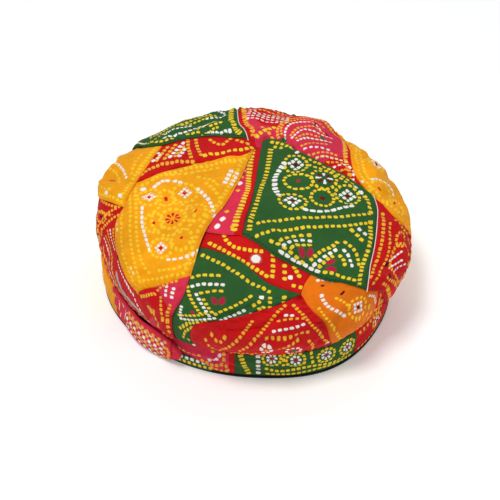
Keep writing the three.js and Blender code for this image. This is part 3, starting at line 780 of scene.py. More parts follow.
class ClothSheet:
    """Meshes of thin cloth walls with rounded edges and their printed attributes."""

    def __init__(self, layering: Layering) -> None:
        """Keeps the cloth's sizes."""
        self.layering = layering

    def round_off(self, away: Array) -> Array:
        """How far a face drops at a distance from a rounded edge, in millimetres."""
        r = self.layering.edge_round
        d = np.clip(away, 0, r)
        return r - np.sqrt(np.maximum(r * r - (r - d) ** 2, 0))

    def build(self, name: str, outer: Array, inner: Array, flat: Array, turned: bool) -> bpy.types.Object:
        """A closed wall between two grids of points.

        Args:
            name: the piece's name.
            outer: the outer grid, columns by rows by 3, in millimetres.
            inner: the inner grid.
            flat: places in print coordinates for the same grid, in millimetres.
            turned: whether the grid's columns run the other way round.

        Returns:
            The new object, with its UV map in metres.
        """
        columns, rows = outer.shape[:2]
        points = np.concatenate([outer.reshape(-1, 3), inner.reshape(-1, 3)])
        points = (points + (*BOX_MIDDLE, 0.0)) * MM
        at = np.arange(columns * rows).reshape(columns, rows)
        low = at + columns * rows
        quads = [
            np.stack([at[:-1, :-1], at[1:, :-1], at[1:, 1:], at[:-1, 1:]], -1).reshape(-1, 4),
            np.stack([low[:-1, :-1], low[:-1, 1:], low[1:, 1:], low[1:, :-1]], -1).reshape(-1, 4),
            np.stack([at[:-1, 0], low[:-1, 0], low[1:, 0], at[1:, 0]], -1),
            np.stack([at[:-1, -1], at[1:, -1], low[1:, -1], low[:-1, -1]], -1),
            np.stack([at[0, :-1], at[0, 1:], low[0, 1:], low[0, :-1]], -1),
            np.stack([at[-1, :-1], low[-1, :-1], low[-1, 1:], at[-1, 1:]], -1),
        ]
        faces = np.concatenate(quads)
        if turned:
            faces = faces[:, ::-1]
        mesh = bpy.data.meshes.new(name)
        mesh.vertices.add(len(points))
        mesh.vertices.foreach_set("co", points.astype(np.float32).ravel())
        mesh.loops.add(faces.size)
        mesh.loops.foreach_set("vertex_index", faces.astype(np.int32).ravel())
        mesh.polygons.add(len(faces))
        mesh.polygons.foreach_set("loop_start", np.arange(0, faces.size, 4, dtype=np.int32))
        mesh.update(calc_edges=True)
        mesh.validate()
        mesh.polygons.foreach_set("use_smooth", np.ones(len(mesh.polygons), bool))
        both = np.concatenate([flat.reshape(-1, 2)] * 2)
        uv = mesh.uv_layers.new(name="cloth")
        uv.data.foreach_set("uv", (both[faces.ravel()] * MM).astype(np.float32).ravel())
        made = new_object(name, mesh)
        return made

    def print_on(self, made: bpy.types.Object, flat: Array, motifs: Sequence[Motif], zone: Array) -> None:
        """Writes each face's nearest printed dots, of two motifs at most, into the mesh's attributes.

        Args:
            made: the piece.
            flat: places in print coordinates for its grid, in millimetres.
            motifs: what is printed, first the one on top.
            zone: signed distance to the second ground colour for the same grid, above 0 inside it.
        """
        mesh = made.data
        both = np.concatenate([flat.reshape(-1, 2)] * 2)
        corners = np.empty(len(mesh.loops), np.int32)
        mesh.loops.foreach_get("vertex_index", corners)
        faces = corners.reshape(-1, 4)
        middle = both[faces].mean(1)
        place = np.full((2, len(faces), 4, 3), 2.0)
        shape = np.ones((2, len(faces), 4, 3))
        ink = np.zeros((2, len(faces), 4, 4))
        nearest = np.full((2, len(faces)), np.inf)
        for motif in motifs:
            low, high = self.reach_of(motif)
            index = np.flatnonzero((middle > low).all(1) & (middle < high).all(1))
            if not len(index):
                continue
            hit = motif.hit(middle[index])
            chosen = np.flatnonzero(hit.taken)
            if not len(chosen):
                continue
            face = index[chosen]
            half = (motif.dot.length / 2, motif.dot.width / 2)
            cell, side = hit.local(middle[face], chosen)
            size = np.hypot((cell % 1 - 0.5) * hit.pitch / half[0], side / half[1])
            along, across = hit.local(both[faces[face]].reshape(-1, 2), np.repeat(chosen, 4))
            local = np.stack([along, across, np.full(len(along), motif.dot.square)], -1).reshape(-1, 4, 3)
            first = size < nearest[0, face]
            for values in (place, shape, ink, nearest):
                values[1, face[first]] = values[0, face[first]]
            second = ~first & (size < nearest[1, face])
            for layer, taken in ((0, first), (1, second)):
                at = face[taken]
                place[layer, at] = local[taken]
                shape[layer, at] = (hit.pitch, *half)
                ink[layer, at] = (*linear(motif.dot.ink.value), 1.0)
                nearest[layer, at] = size[taken]
        for layer, label in enumerate(("near", "next")):
            for kind, values in (("place", place), ("shape", shape)):
                written = mesh.attributes.new(f"{label}_{kind}", "FLOAT_VECTOR", "CORNER")
                written.data.foreach_set("vector", values[layer].astype(np.float32).ravel())
            written = mesh.attributes.new(f"{label}_ink", "FLOAT_COLOR", "CORNER")
            written.data.foreach_set("color", ink[layer].astype(np.float32).ravel())
        written = mesh.attributes.new("zone", "FLOAT", "POINT")
        written.data.foreach_set("value", np.concatenate([zone.ravel()] * 2).astype(np.float32))

    @staticmethod
    def reach_of(motif: Motif) -> tuple[Array, Array]:
        """The box on the plan that a motif can print in."""
        if isinstance(motif, Row):
            points = np.asarray(motif.points, float)
            pad = abs(motif.offset) + 6
            return points.min(0) - pad - 4, points.max(0) + pad + 4
        centre = np.asarray(motif.centre, float)
        if isinstance(motif, Ring):
            pad = max(motif.radii) + 5
        else:
            pad = math.hypot(motif.columns * motif.pitch, motif.rows * motif.row_pitch) / 2 + 5
        return centre - pad, centre + pad


class ClothSim:
    """Settles the patches with Blender's cloth. A little slack in each, held at its seams, makes puckers."""

    scale = 10.0  # the simulation's units in a metre, which give a patch a size that the solver likes
    frames = 14
    slack = 0.045
    most = 1.2  # millimetres
    broad = 3.3  # cells: waves wider than this are taken out, since the form has the crown's broad shape

    def __init__(self) -> None:
        """Starts with no sheets."""
        self.sheets: list[tuple[bpy.types.Object, Array]] = []

    def add(self, name: str, points: Array, pins: Array) -> int:
        """Adds one sheet.

        Args:
            name: the piece's name.
            points: a grid of points in millimetres.
            pins: how firmly each is held, from 0 to 1.

        Returns:
            The sheet's number.
        """
        columns, rows = points.shape[:2]
        at = np.arange(columns * rows).reshape(columns, rows)
        faces = np.stack([at[:-1, :-1], at[1:, :-1], at[1:, 1:], at[:-1, 1:]], -1).reshape(-1, 4)
        mesh = bpy.data.meshes.new(f"{name}_slack")
        mesh.from_pydata((points.reshape(-1, 3) * MM * self.scale).tolist(), [], faces.tolist())
        made = new_object(f"{name}_slack", mesh)
        group = made.vertex_groups.new(name="held")
        for i, weight in enumerate(pins.ravel()):
            if weight > 0:
                group.add([i], float(weight), "REPLACE")
        cloth = made.modifiers.new("cloth", "CLOTH")
        settings = cloth.settings
        settings.quality = 6
        settings.mass = 0.25
        settings.tension_stiffness = settings.compression_stiffness = 18
        settings.shear_stiffness = 8
        settings.bending_stiffness = 0.25
        settings.tension_damping = settings.compression_damping = settings.shear_damping = 6
        settings.air_damping = 4
        settings.vertex_group_mass = "held"
        settings.pin_stiffness = 1.0
        settings.shrink_min = -self.slack
        settings.use_pressure = True
        settings.uniform_pressure_force = 0.06
        settings.effector_weights.gravity = 0
        cloth.collision_settings.use_collision = False
        cloth.collision_settings.use_self_collision = False
        cloth.point_cache.frame_start = 1
        cloth.point_cache.frame_end = self.frames
        self.sheets.append((made, points))
        return len(self.sheets) - 1

    def run(self, normals: list[Array]) -> list[Array]:
        """Steps all sheets together and reads how far each point moved.

        Args:
            normals: each sheet's outward directions.

        Returns:
            For each sheet, how far each point moved outwards, in millimetres.
        """
        scene = bpy.context.scene
        for frame in range(1, self.frames + 1):
            scene.frame_set(frame)
        graph = bpy.context.evaluated_depsgraph_get()
        out = []
        for (made, points), normal in zip(self.sheets, normals, strict=True):
            shown = made.evaluated_get(graph).to_mesh()
            moved = np.empty(len(shown.vertices) * 3, np.float32)
            shown.vertices.foreach_get("co", moved)
            moved = moved.reshape(points.shape).astype(float) / (MM * self.scale)
            off = ((moved - points) * normal).sum(-1)
            fine = off - 0.9 * blurred(off, self.broad)
            usual = float(np.percentile(np.abs(fine), 93))
            log.info("%s moved %.2f mm at most of its points", made.name, usual)
            out.append(np.clip(fine, -0.8 * self.most, self.most))
        for made, _ in self.sheets:
            mesh = made.data
            bpy.data.objects.remove(made)
            bpy.data.meshes.remove(mesh)
        self.sheets.clear()
        scene.frame_set(1)
        return out


def blurred(values: Array, spread: float) -> Array:
    """A grid's values smoothed over some of its cells."""
    reach = math.ceil(spread * 2.5)
    weights = np.exp(-0.5 * (np.arange(-reach, reach + 1) / spread) ** 2)
    weights /= weights.sum()
    for axis in (0, 1):
        pad = [(0, 0), (0, 0)]
        pad[axis] = (reach, reach)
        padded = np.pad(values, pad, mode="edge")
        size = values.shape[axis]
        values = sum(w * np.take(padded, range(k, k + size), axis=axis) for k, w in enumerate(weights))
    return values


def sample_grid(values: Array, s: Array, t: Array) -> Array:
    """Smooth values between an even grid's points, at shares s along its columns and t along its rows."""
    columns, rows = values.shape
    x, y = np.clip(s * (columns - 1), 0, columns - 1), np.clip(t * (rows - 1), 0, rows - 1)
    i, j = np.minimum(x.astype(int), columns - 2), np.minimum(y.astype(int), rows - 2)
    u, v = x - i, y - j

    def row(step: int) -> Array:
        k = np.clip(i + step, 0, columns - 1)
        parts = [values[k, np.clip(j + m, 0, rows - 1)] for m in (-1, 0, 1, 2)]
        return catmull(*parts, v)

    return catmull(row(-1), row(0), row(1), row(2), u)


class Ripples:
    """Seeded soft waves for puckers along seams and for the lie of the cloth."""

    def __init__(self, seed: int) -> None:
        """Chooses the waves."""
        rng = np.random.default_rng(seed)
        self.angles = rng.uniform(0, math.pi, 9)
        self.pitches = rng.uniform(15, 44, 9)
        self.phases = rng.uniform(0, 2 * math.pi, 9)
        self.seam_pitches = rng.uniform(6.5, 13, 5)
        self.seam_phases = rng.uniform(0, 2 * math.pi, 5)

    def lie(self, xy: Array) -> Array:
        """Soft waves from -1 to 1 over the cloth."""
        total = np.zeros(len(xy))
        for a, p, f in zip(self.angles, self.pitches, self.phases, strict=True):
            total += np.sin((xy[:, 0] * math.cos(a) + xy[:, 1] * math.sin(a)) * 2 * math.pi / p + f)
        return total / 5

    def pucker(self, along: Array) -> Array:
        """Waves along a seam, from -1 to 1."""
        total = np.zeros(len(along))
        for p, f in zip(self.seam_pitches, self.seam_phases, strict=True):
            total += np.sin(along * 2 * math.pi / p + f)
        return total / 3


class Crown:
    """The crown's wraps, patch by patch."""

    cell = 1.7
    slack_cell = 3.6
    slack_share = 1.03
    seam_allowance = 12
    least_fill = 0.32
    widen = 1.05
    narrow = 0.96

    def __init__(self, plan: CrownPlan, sheet: ClothSheet) -> None:
        """Keeps the plan and lists the patches."""
        self.plan = plan
        self.sheet = sheet
        self.form = plan.form
        self.layering = plan.layering
        self.creases = [(PlanLine(c.points, 40), c) for c in CREASES]
        self.patches = self.front() + self.top() + self.side() + self.back() + self.left()

    # The wraps, from the lowest

    def front(self) -> list[Patch]:
        """The front wrap."""
        p, S = self.plan, Side
        start, lower, tip, side_tip = (-35, -45), (-38, -57), (40, -78), (107, -96)
        return [
            Patch(
                "front_red_strip", Wrap.FRONT, Cloth.RED,
                [
                    p.under("diagonal", start, lower),
                    p.seam("redToLowerGreen"),
                    np.concatenate([p.back("stripEnd"), p.tucked("top", tip)]),
                    p.under("top", tip, (-46, -41)),
                ],
                (S.TUCK, S.SEAM, S.SEAM, S.TUCK),
                [
                    Block(Dot(6.6, 6.6, Ink.WHITE, 2.0), (2, -67), pitch=24.0),
                    spot(26, -81, 3.2, 3.2, Ink.WHITE),
                    row(ROW, 4.2, (14, -61), (14, -74), (13, -83)),
                    row(ROW, 4.6, (22, -69), (22, -85)),
                    row(ROW, 4.2, (-33, -53), (-18, -62), (-4, -71), (11, -82)),
                    row(ROW, 4.2, (-22, -46), (-19, -53), (-12, -58), (-2, -60), (8, -61)),
                    row(ROW, 4.2, (28, -71), (33, -81)),
                    row(ROW, 4.2, (26, -87), (36, -89)),
                ],
            ),
            Patch(
                "front_lower_green", Wrap.FRONT, Cloth.GREEN,
                [
                    p.under("diagonal", lower, p.neck_place(240)),
                    p.neck(240, 249.8),
                    p.back("lowerGreenToRed"),
                    np.concatenate([p.back("redToLowerGreen")[:-1], p.tucked("diagonal", lower)]),
                ],
                (S.TUCK, S.NECK, S.SEAM, S.SEAM),
                [
                    *tears(-25, -106, 90),
                    spot(6, -100, 3.4, 3.4, Ink.WHITE),
                    spot(-64, -148, 3.0, 3.0, Ink.YELLOW),
                    spot(-65, -157, 5.0, 3.4, Ink.WHITE, 120),
                    spot(-47, -120, 5.0, 3.0, Ink.ROSE, 100),
                    row(ROW, 4.2, (-38, -63), (-20, -73), (-6, -84), (5, -90), (13, -95)),
                    row(ROW, 4.2, (12, -98), (12, -111)),
                    row(ROW, 4.4, (22, -97), (22, -106)),
                    row(LONG_ROW, 4.7, (-46, -84), (-36, -81), (-22, -82)),
                    row(ROW, 4.4, (-48, -90), (-46, -104), (-40, -122)),
                    row(WHITE_ROW, 4.9, (-46, -92), (-35, -89), (-19, -91)),
                    row(WHITE_ROW, 4.5, (-42, -97), (-38, -109), (-33, -124)),
                    row(LONG_ROW, 4.8, (-40, -98), (-30, -96), (-20, -97)),
                    row(ROW, 4.4, (-37, -102), (-34, -110), (-30, -120)),
                    row(LONG_ROW, 4.6, (-30, -121), (-14, -110), (0, -97)),
                    row(WHITE_ROW, 4.6, (-26, -128), (-15, -119), (-5, -111)),
                    row(WHITE_ROW, 4.4, (-2, -115), (1, -124)),
                    row(ROW, 4.6, (-1, -108), (6, -103)),
                    row(ROW, 4.6, (3, -113), (9, -108)),
                    row(ROW, 4.4, (6, -120), (12, -115)),
                    row(ROW, 4.0, (-64, -126), (-48, -124), (-34, -119)),
                    row(Dot(3.0, 2.4, Ink.YELLOW), 3.8, (-70, -146), (-62, -140), (-52, -138)),
                    row(WHITE_ROW, 4.2, (-60, -131), (-44, -129), (-28, -124)),
                    row(ROW, 4.2, (-68, -137), (-52, -134), (-36, -130)),
                    row(WHITE_ROW, 4.2, (-55, -112), (-60, -124), (-62, -132)),
                    row(ROW, 4.2, (-54, -150), (-50, -158), (-52, -168)),
                ],
            ),
            Patch(
                "front_red_triangle", Wrap.FRONT, Cloth.RED,
                [
                    p.seam("lowerGreenToRed"),
                    p.neck(249.8, 304.9),
                    p.back("redToOrange")[:-2],
                    p.back("redToOrange")[-3:],
                ],
                (S.SEAM, S.NECK, S.SEAM, S.SEAM),
                [
                    *flower(12, -155, 6, Ink.WHITE, 1.2),
                    spot(12, -155, 2.4, 2.4, Ink.AMBER),
                    spot(40, -158, 5.4, 4.6, Ink.LEAF, 20),
                    Ring(Dot(3.0, 2.8, Ink.WHITE), (40, -158), (7.2, 6.4), 9),
                    spot(72, -145, 5.0, 3.4, Ink.WHITE, 30),
                    row(AMBER_ROW, 4.2, (28, -105), (38, -118), (50, -132), (70, -143)),
                    row(AMBER_ROW, 4.4, (24, -105), (16, -118), (6, -140), (-2, -150), (-14, -160)),
                    row(AMBER_ROW, 4.4, (0, -124), (-8, -142), (-18, -151), (-38, -163)),
                    row(WHITE_ROW, 4.8, (22, -118), (31, -118)),
                    row(AMBER_ROW, 4.6, (17, -125), (28, -122), (40, -121)),
                    row(Dot(3.2, 3.4, Ink.WHITE), 5.2, (14, -137), (30, -133), (41, -127)),
                    row(AMBER_ROW, 4.9, (9, -146), (27, -144), (41, -138), (48, -137)),
                    row(AMBER_ROW, 4.6, (22, -155), (31, -149), (40, -143)),
                    row(AMBER_ROW, 4.6, (47, -142), (56, -148), (64, -160)),
                    row(AMBER_ROW, 4.6, (82, -148), (92, -147)),
                    row(AMBER_ROW, 4.6, (-44, -146), (-42, -154), (-38, -165)),
                    row(AMBER_ROW, 4.4, (-38, -143), (-30, -149), (-22, -144)),
                    row(AMBER_ROW, 4.6, (-26, -168), (-6, -166), (12, -168), (40, -170), (64, -166)),
                    row(WHITE_ROW, 4.6, (-20, -175), (10, -176), (50, -174)),
                ],
                held="gathered",
            ),
            Patch(
                "front_orange_bulge", Wrap.FRONT, Cloth.ORANGE,
                [
                    np.concatenate([p.seam("stripEnd"), p.seam("redToOrange")[1:]]),
                    p.neck(304.9, 320.3),
                    np.concatenate([p.back("orangeToSide"), p.tucked("top", side_tip)]),
                    p.under("top", side_tip, tip),
                ],
                (S.SEAM, S.NECK, S.SEAM, S.TUCK),
                [
                    spot(66, -95, 4.8, 2.4, Ink.MAROON, 50),
                    *diamond(84, -110, 20),
                    row(Dot(3.2, 3.0, Ink.WHITE), 4.7, (49, -94), (52, -102), (60, -111), (74, -119)),
                    row(PALE_ROW, 4.6, (60, -99), (68, -104), (76, -112)),
                    Ring(PALE_ROW, (84, -110), (10, 9), 13),
                    row(PALE_ROW, 4.6, (100, -106), (103, -120), (98, -134)),
                    row(PALE_ROW, 4.6, (110, -108), (116, -122), (110, -140)),
                    row(PALE_ROW, 4.6, (48, -108), (62, -126), (84, -138), (100, -142)),
                    row(Dot(2.6, 2.0, Ink.WHITE), 3.8, (44, -83), (50, -82), (58, -84)),
                    row(Dot(2.8, 1.8, Ink.MAROON), 5.0, (46, -87), (53, -87)),
                    row(Dot(2.4, 2.2, Ink.WHITE), 4.0, (94, -100), (104, -101), (112, -103)),
                ],
                zones=((0, 200.0),),
                held="gathered",
            ),
            Patch(
                "front_red_side", Wrap.FRONT, Cloth.RED,
                [
                    p.seam("orangeToSide"),
                    p.neck(320.3, 332),
                    p.under("top", (165, -84), (135, -92)),
                    p.under("top", (135, -92), side_tip),
                ],
                (S.SEAM, S.NECK, S.TUCK, S.TUCK),
                [Block(Dot(3.0, 3.0, Ink.AMBER), (142, -102), 8, 8, 5.4, 5.4, 30)],
                borders=((0, 4.6, AMBER_ROW, 4.4),),
            ),
        ]

    def top(self) -> list[Patch]:
        """The top wrap, whose lower edge crosses the front."""
        p, S = self.plan, Side
        even_row, fine_ring = Dot(2.9, 2.5, Ink.YELLOW), Dot(2.7, 2.3, Ink.YELLOW)
        green: list[Motif] = [
            *petals(54, 10, (Ink.WHITE, Ink.MAROON)),
            *diamond(34, 26, 45),
            *diamond(31, -16, 45),
            *diamond(70, -4, 45),
            spot(36, 6, 3.4, 2.4, Ink.ROSE, 80),
            spot(52, -10, 3.6, 3.4, Ink.MAROON, 90),
            *tears(37, -62, 90),
            *tears(54.5, -72, 8),
        ]
        green += [
            Ring(fine_ring, (x, y), radii, 14)
            for x, y, radii in (
                (34, 26, (8.8, 9.6)),
                (31, -16, (9.8, 8.6)),
                (54, 10, (8.8, 10.0)),
                (36, 6, (10.2, 7.6)),
                (52, -10, (7.8, 9.4)),
                (70, -4, (8.8, 9.6)),
            )
        ]
        green += [
            row(Dot(3.4, 3.2, Ink.WHITE), 5.4, (41, 47), (32, 38)),
            row(Dot(2.9, 4.2, Ink.WHITE), 4.2, (26, 27), (20, 13), (19, 0), (22, -12)),
            row(Dot(3.9, 2.4, Ink.WHITE), 5.0, (37, -24), (50, -25), (60, -22), (74, -15)),
            row(Dot(3.4, 3.2, Ink.WHITE), 5.2, (75, 9), (82, -1)),
            row(fine_ring, 4.3, (38, 35), (46, 25), (57, 21), (70, 9), (74, 5)),
            row(fine_ring, 4.3, (43, 34), (52, 28), (64, 19), (76, 9)),
            row(ROW, 4.2, (13, 51), (22, 48), (31, 42)),
            row(ROW, 4.2, (15, 46), (24, 43)),
            row(Dot(1.9, 4.0, Ink.YELLOW), 3.4, (14, 44), (11, 12), (6, -10), (-1, -33), (-3, -46)),
            row(Dot(2.6, 3.6, Ink.YELLOW), 4.0, (83, 0), (86, -14), (87, -20)),
            row(even_row, 4.3, (2, -41), (14, -36), (38, -32), (65, -28), (87, -20)),
            row(even_row, 4.3, (1, -51), (16, -45), (41, -40), (68, -36), (84, -30)),
            row(Dot(2.6, 3.8, Ink.YELLOW), 4.1, (86, -27), (86, -42), (84, -56), (79, -75), (79, -90)),
            row(LONG_ROW, 5.0, (18, -55), (24, -50), (32, -47), (43, -46)),
            row(WHITE_ROW, 5.0, (20, -59), (26, -54), (34, -51), (43, -51)),
            row(LONG_ROW, 4.8, (26, -60), (30, -57), (42, -55)),
            row(LONG_ROW, 5.0, (11, -52), (22, -59), (30, -65), (36, -71)),
            row(Dot(3.8, 2.4, Ink.WHITE), 4.6, (18, -61), (32, -69.5), (47, -77)),
            row(ROW, 4.4, (39, -69), (48, -60), (55, -56), (61, -50)),
            row(ROW, 4.4, (64, -50), (70, -55), (75, -61), (77, -71)),
            row(WHITE_ROW, 4.6, (41, -73), (51, -64), (60, -57)),
            row(WHITE_ROW, 4.6, (63, -57), (68, -63), (71, -74)),
            row(ROW, 4.6, (45, -74), (51, -68), (57, -63)),
            row(ROW, 4.2, (60, -62), (64, -67), (65, -73)),
            row(LONG_ROW, 4.8, (48, -77), (60, -79), (76, -85)),
            spot(77, -38, 3.4, 3.2, Ink.WHITE, 320),
            spot(81, -42, 3.4, 3.2, Ink.WHITE, 320),
            spot(71, -40, 3.4, 3.0, Ink.YELLOW, 320),
            spot(75, -44, 3.4, 3.0, Ink.YELLOW, 320),
            spot(78, -48, 3.4, 3.0, Ink.YELLOW, 320),
        ]
        return [
            Patch(
                "top_pink_strip", Wrap.TOP, Cloth.PINK,
                [
                    p.under("diagonal", (4, 46), (-35, -45)),
                    p.along("top", (-46, -41), (-8, -49)),
                    p.back("stripToGreen"),
                    np.array([(7, 48), (4, 46)], float),
                ],
                (S.TUCK, S.HEM, S.SEAM, S.SEAM),
                [
                    spot(-8.5, 20, 4.4, 3.2, Ink.WHITE, 40),
                    spot(-10, 13, 3.4, 2.6, Ink.AMBER, 40),
                    spot(-12, 5, 4.6, 3.4, Ink.WHITE, 40),
                    spot(-14, -4, 3.4, 2.8, Ink.AMBER, 40),
                    spot(-21, -27, 3.4, 2.8, Ink.AMBER, 40),
                    spot(-23.5, -35, 4.4, 3.4, Ink.WHITE, 40),
                    spot(-27, -41, 4.2, 3.4, Ink.WHITE, 40),
                    row(AMBER_ROW, 4.6, (-18, -40), (-13, -44)),
                ],
                borders=((2, 6.8, Dot(2.2, 5.0, Ink.YELLOW), 3.4),),
                zones=((2, 6.4),),
            ),
            Patch(
                "top_big_green", Wrap.TOP, Cloth.GREEN,
                [
                    p.seam("stripToGreen"),
                    p.along("top", (-8, -49), (88, -94)),
                    p.back("greenToRed"),
                    np.concatenate([p.back("greenToOrange"), p.back("greenToPink")[1:]]),
                ],
                (S.SEAM, S.HEM, S.SEAM, S.SEAM),
                green,
            ),
            Patch(
                "top_red_right", Wrap.TOP, Cloth.RED,
                [
                    p.seam("greenToRed"),
                    p.along("top", (88, -94), (165, -84)),
                    p.neck(333, 348.1),
                    p.back("orangeToRed"),
                ],
                (S.SEAM, S.HEM, S.NECK, S.SEAM),
                [
                    spot(122, -43, 6.0, 2.8, Ink.BLACK, 70),
                    spot(105, -69, 6.0, 2.8, Ink.BLACK, 60),
                    spot(111, -81, 5.6, 2.6, Ink.BLACK, 80),
                    row(Dot(3.0, 2.2, Ink.WHITE), 3.8, (107, -66), (114, -60), (120, -53)),
                    row(Dot(3.0, 2.2, Ink.WHITE), 3.8, (110, -73), (117, -68), (124, -61)),
                    Ring(AMBER_ROW, (122, -62), (17, 12), 21, 110),
                    Ring(AMBER_ROW, (118, -40), (9, 6.4), 12, 70),
                    row(Dot(2.8, 3.2, Ink.AMBER), 4.1, (98, -14), (97, -40), (94, -62), (88, -84)),
                    row(Dot(2.6, 2.4, Ink.AMBER), 3.8, (112, -50), (110, -64), (112, -74)),
                    row(Dot(2.4, 2.0, Ink.WHITE), 3.4, (118, -76), (124, -70), (129, -62)),
                    row(Dot(2.4, 2.0, Ink.ROSE), 3.2, (126, -78), (131, -70), (134, -60)),
                    row(Dot(2.4, 2.0, Ink.WHITE), 3.4, (134, -80), (139, -72), (140, -62)),
                    row(Dot(2.6, 2.4, Ink.AMBER), 3.8, (130, -50), (138, -46), (142, -40)),
                    row(AMBER_ROW, 4.2, (104, -24), (104, -42), (104, -60), (98, -78), (92, -90)),
                    row(AMBER_ROW, 4.2, (104, -88), (120, -90), (136, -87), (152, -82)),
                    row(AMBER_ROW, 4.2, (106, -82), (116, -84), (130, -80)),
                    row(AMBER_ROW, 4.4, (108, -20), (122, -27), (146, -32)),
                    Ring(AMBER_ROW, (150, -52), (12, 9), 15, 100),
                    Ring(WHITE_ROW, (150, -52), (6.5, 4.5), 8, 100),
                ],
            ),
            Patch(
                "top_orange_right", Wrap.TOP, Cloth.ORANGE,
                [
                    np.concatenate([p.seam("greenToOrange"), p.seam("orangeToRed")[1:]]),
                    p.neck(348.1, 429.1),
                    p.back("backToOrange"),
                    p.back("pinkToOrange"),
                ],
                (S.SEAM, S.NECK, S.SEAM, S.SEAM),
                [
                    spot(96, 9, 3.8, 2.0, Ink.RED, 130),
                    spot(113, 3, 4.2, 2.4, Ink.RED, 60),
                    spot(117, -5, 4.2, 2.4, Ink.RED, 60),
                    row(Dot(3.2, 2.4, Ink.WHITE), 4.4, (90, 18), (98, 22), (108, 19), (114, 11)),
                    row(Dot(3.2, 2.4, Ink.WHITE), 4.6, (84, 18), (82, 12)),
                    Ring(PALE_ROW, (98, 8), (10, 10), 13),
                    Ring(PALE_ROW, (116, -1), (8, 8), 11),
                    *medallion(116, 62, (30, 30), PALE_ROW),
                    *medallion(100, 128, (26, 26), PALE_ROW),
                    *paisley(150, 20, 70),
                    *paisley(136, 104, 120),
                    *paisley(72, 136, 200, 0.8),
                    Block(PALE_ROW, (150, 62), 3, 8, 5.4, 5.4, 20),
                    Block(Dot(3.0, 3.0, Ink.WHITE), (92, 90), 4, 2, 4.8, 4.8, 130),
                ],
                borders=(
                    (3, 5.0, PALE_ROW, 4.4), (0, 5.0, PALE_ROW, 4.4), (2, 5.0, PALE_ROW, 4.4),
                    (3, 10.0, PALE_ROW, 4.4),
                ),
            ),
        ]

    def side(self) -> list[Patch]:
        """The side wrap, over the front wrap along the diagonal."""
        p, S = self.plan, Side
        wedge_end = (-70, 51)
        orange: list[Motif] = [
            *petals(-60, -32, (Ink.RED,), 0.9),
            *diamond(-77, -8, 45, Ink.RED, 0.78),
            *diamond(-52, -6, 45, Ink.RED, 0.78),
            *diamond(-68, -58, 45, Ink.RED, 0.78),
            spot(-65, -10, 3.2, 2.2, Ink.RED, 90),
            spot(-74, -34, 3.2, 2.2, Ink.RED, 90),
            spot(-44, -28, 3.2, 2.2, Ink.RED, 90),
            spot(-52, -52, 3.2, 2.2, Ink.RED, 90),
            spot(-82, 3, 4.4, 3.6, Ink.WHITE, 20),
            Block(Dot(3.3, 3.2, Ink.WHITE), (-18.7, 9.3), 4, 2, 4.6, 4.7, 68),
            row(Dot(3.0, 2.7, Ink.WHITE), 4.0, (-74, 2), (-67, 8), (-62, 8.5)),
            row(Dot(3.0, 2.7, Ink.WHITE), 4.0, (-60, 7), (-53, 3.5)),
            row(Dot(3.2, 2.7, Ink.WHITE), 4.5, (-44, -1), (-35, -17), (-30, -33), (-30, -44)),
            row(Dot(3.5, 2.3, Ink.WHITE), 4.7, (-82, -17), (-83, -33), (-81, -45), (-77, -61)),
            row(Dot(3.2, 2.6, Ink.WHITE), 4.5, (-64, -69), (-54, -68), (-43, -64), (-37, -60)),
        ]
        orange += [
            Ring(PALE_ROW, (x, y), radii, count)
            for x, y, radii, count in (
                (-77, -8, (8.6, 8.6), 13),
                (-52, -6, (8.8, 8.8), 13),
                (-68, -58, (8.6, 8.6), 13),
                (-60, -32, (9.4, 9.4), 14),
                (-65, -10, (6.0, 8.4), 11),
                (-74, -34, (7.0, 9.0), 12),
                (-44, -28, (7.6, 9.0), 12),
                (-52, -52, (7.6, 8.8), 12),
                (-60, -32, (15.6, 15.6), 22),
            )
        ]
        orange += [
            row(PALE_ROW, 4.6, (-38, 4), (-31, -8), (-25, -22), (-24, -36)),
            row(PALE_ROW, 4.6, (-44, 10), (-36, 8), (-28, -2)),
            row(PALE_ROW, 4.6, (-76, 13), (-64, 15), (-50, 14), (-38, 18), (-26, 21)),
            row(PALE_ROW, 4.6, (-93, 4), (-92, -22), (-94, -46), (-92, -74), (-90, -92)),
            row(Dot(3.4, 2.4, Ink.CREAM), 4.8, (-107, -26), (-107, -38)),
            row(Dot(3.6, 2.4, Ink.CREAM), 4.8, (-98, -74), (-96, -84)),
            row(PALE_ROW, 4.6, (-100, -14), (-102, -34), (-104, -55), (-101, -78), (-97, -96)),
            row(PALE_ROW, 4.6, (-88, 6), (-87, -20), (-88, -46), (-85, -70), (-78, -82)),
            row(PALE_ROW, 4.6, (-72, -78), (-60, -78), (-48, -74), (-40, -68)),
            row(PALE_ROW, 4.6, (-92, -92), (-76, -86), (-60, -84), (-48, -80)),
        ]
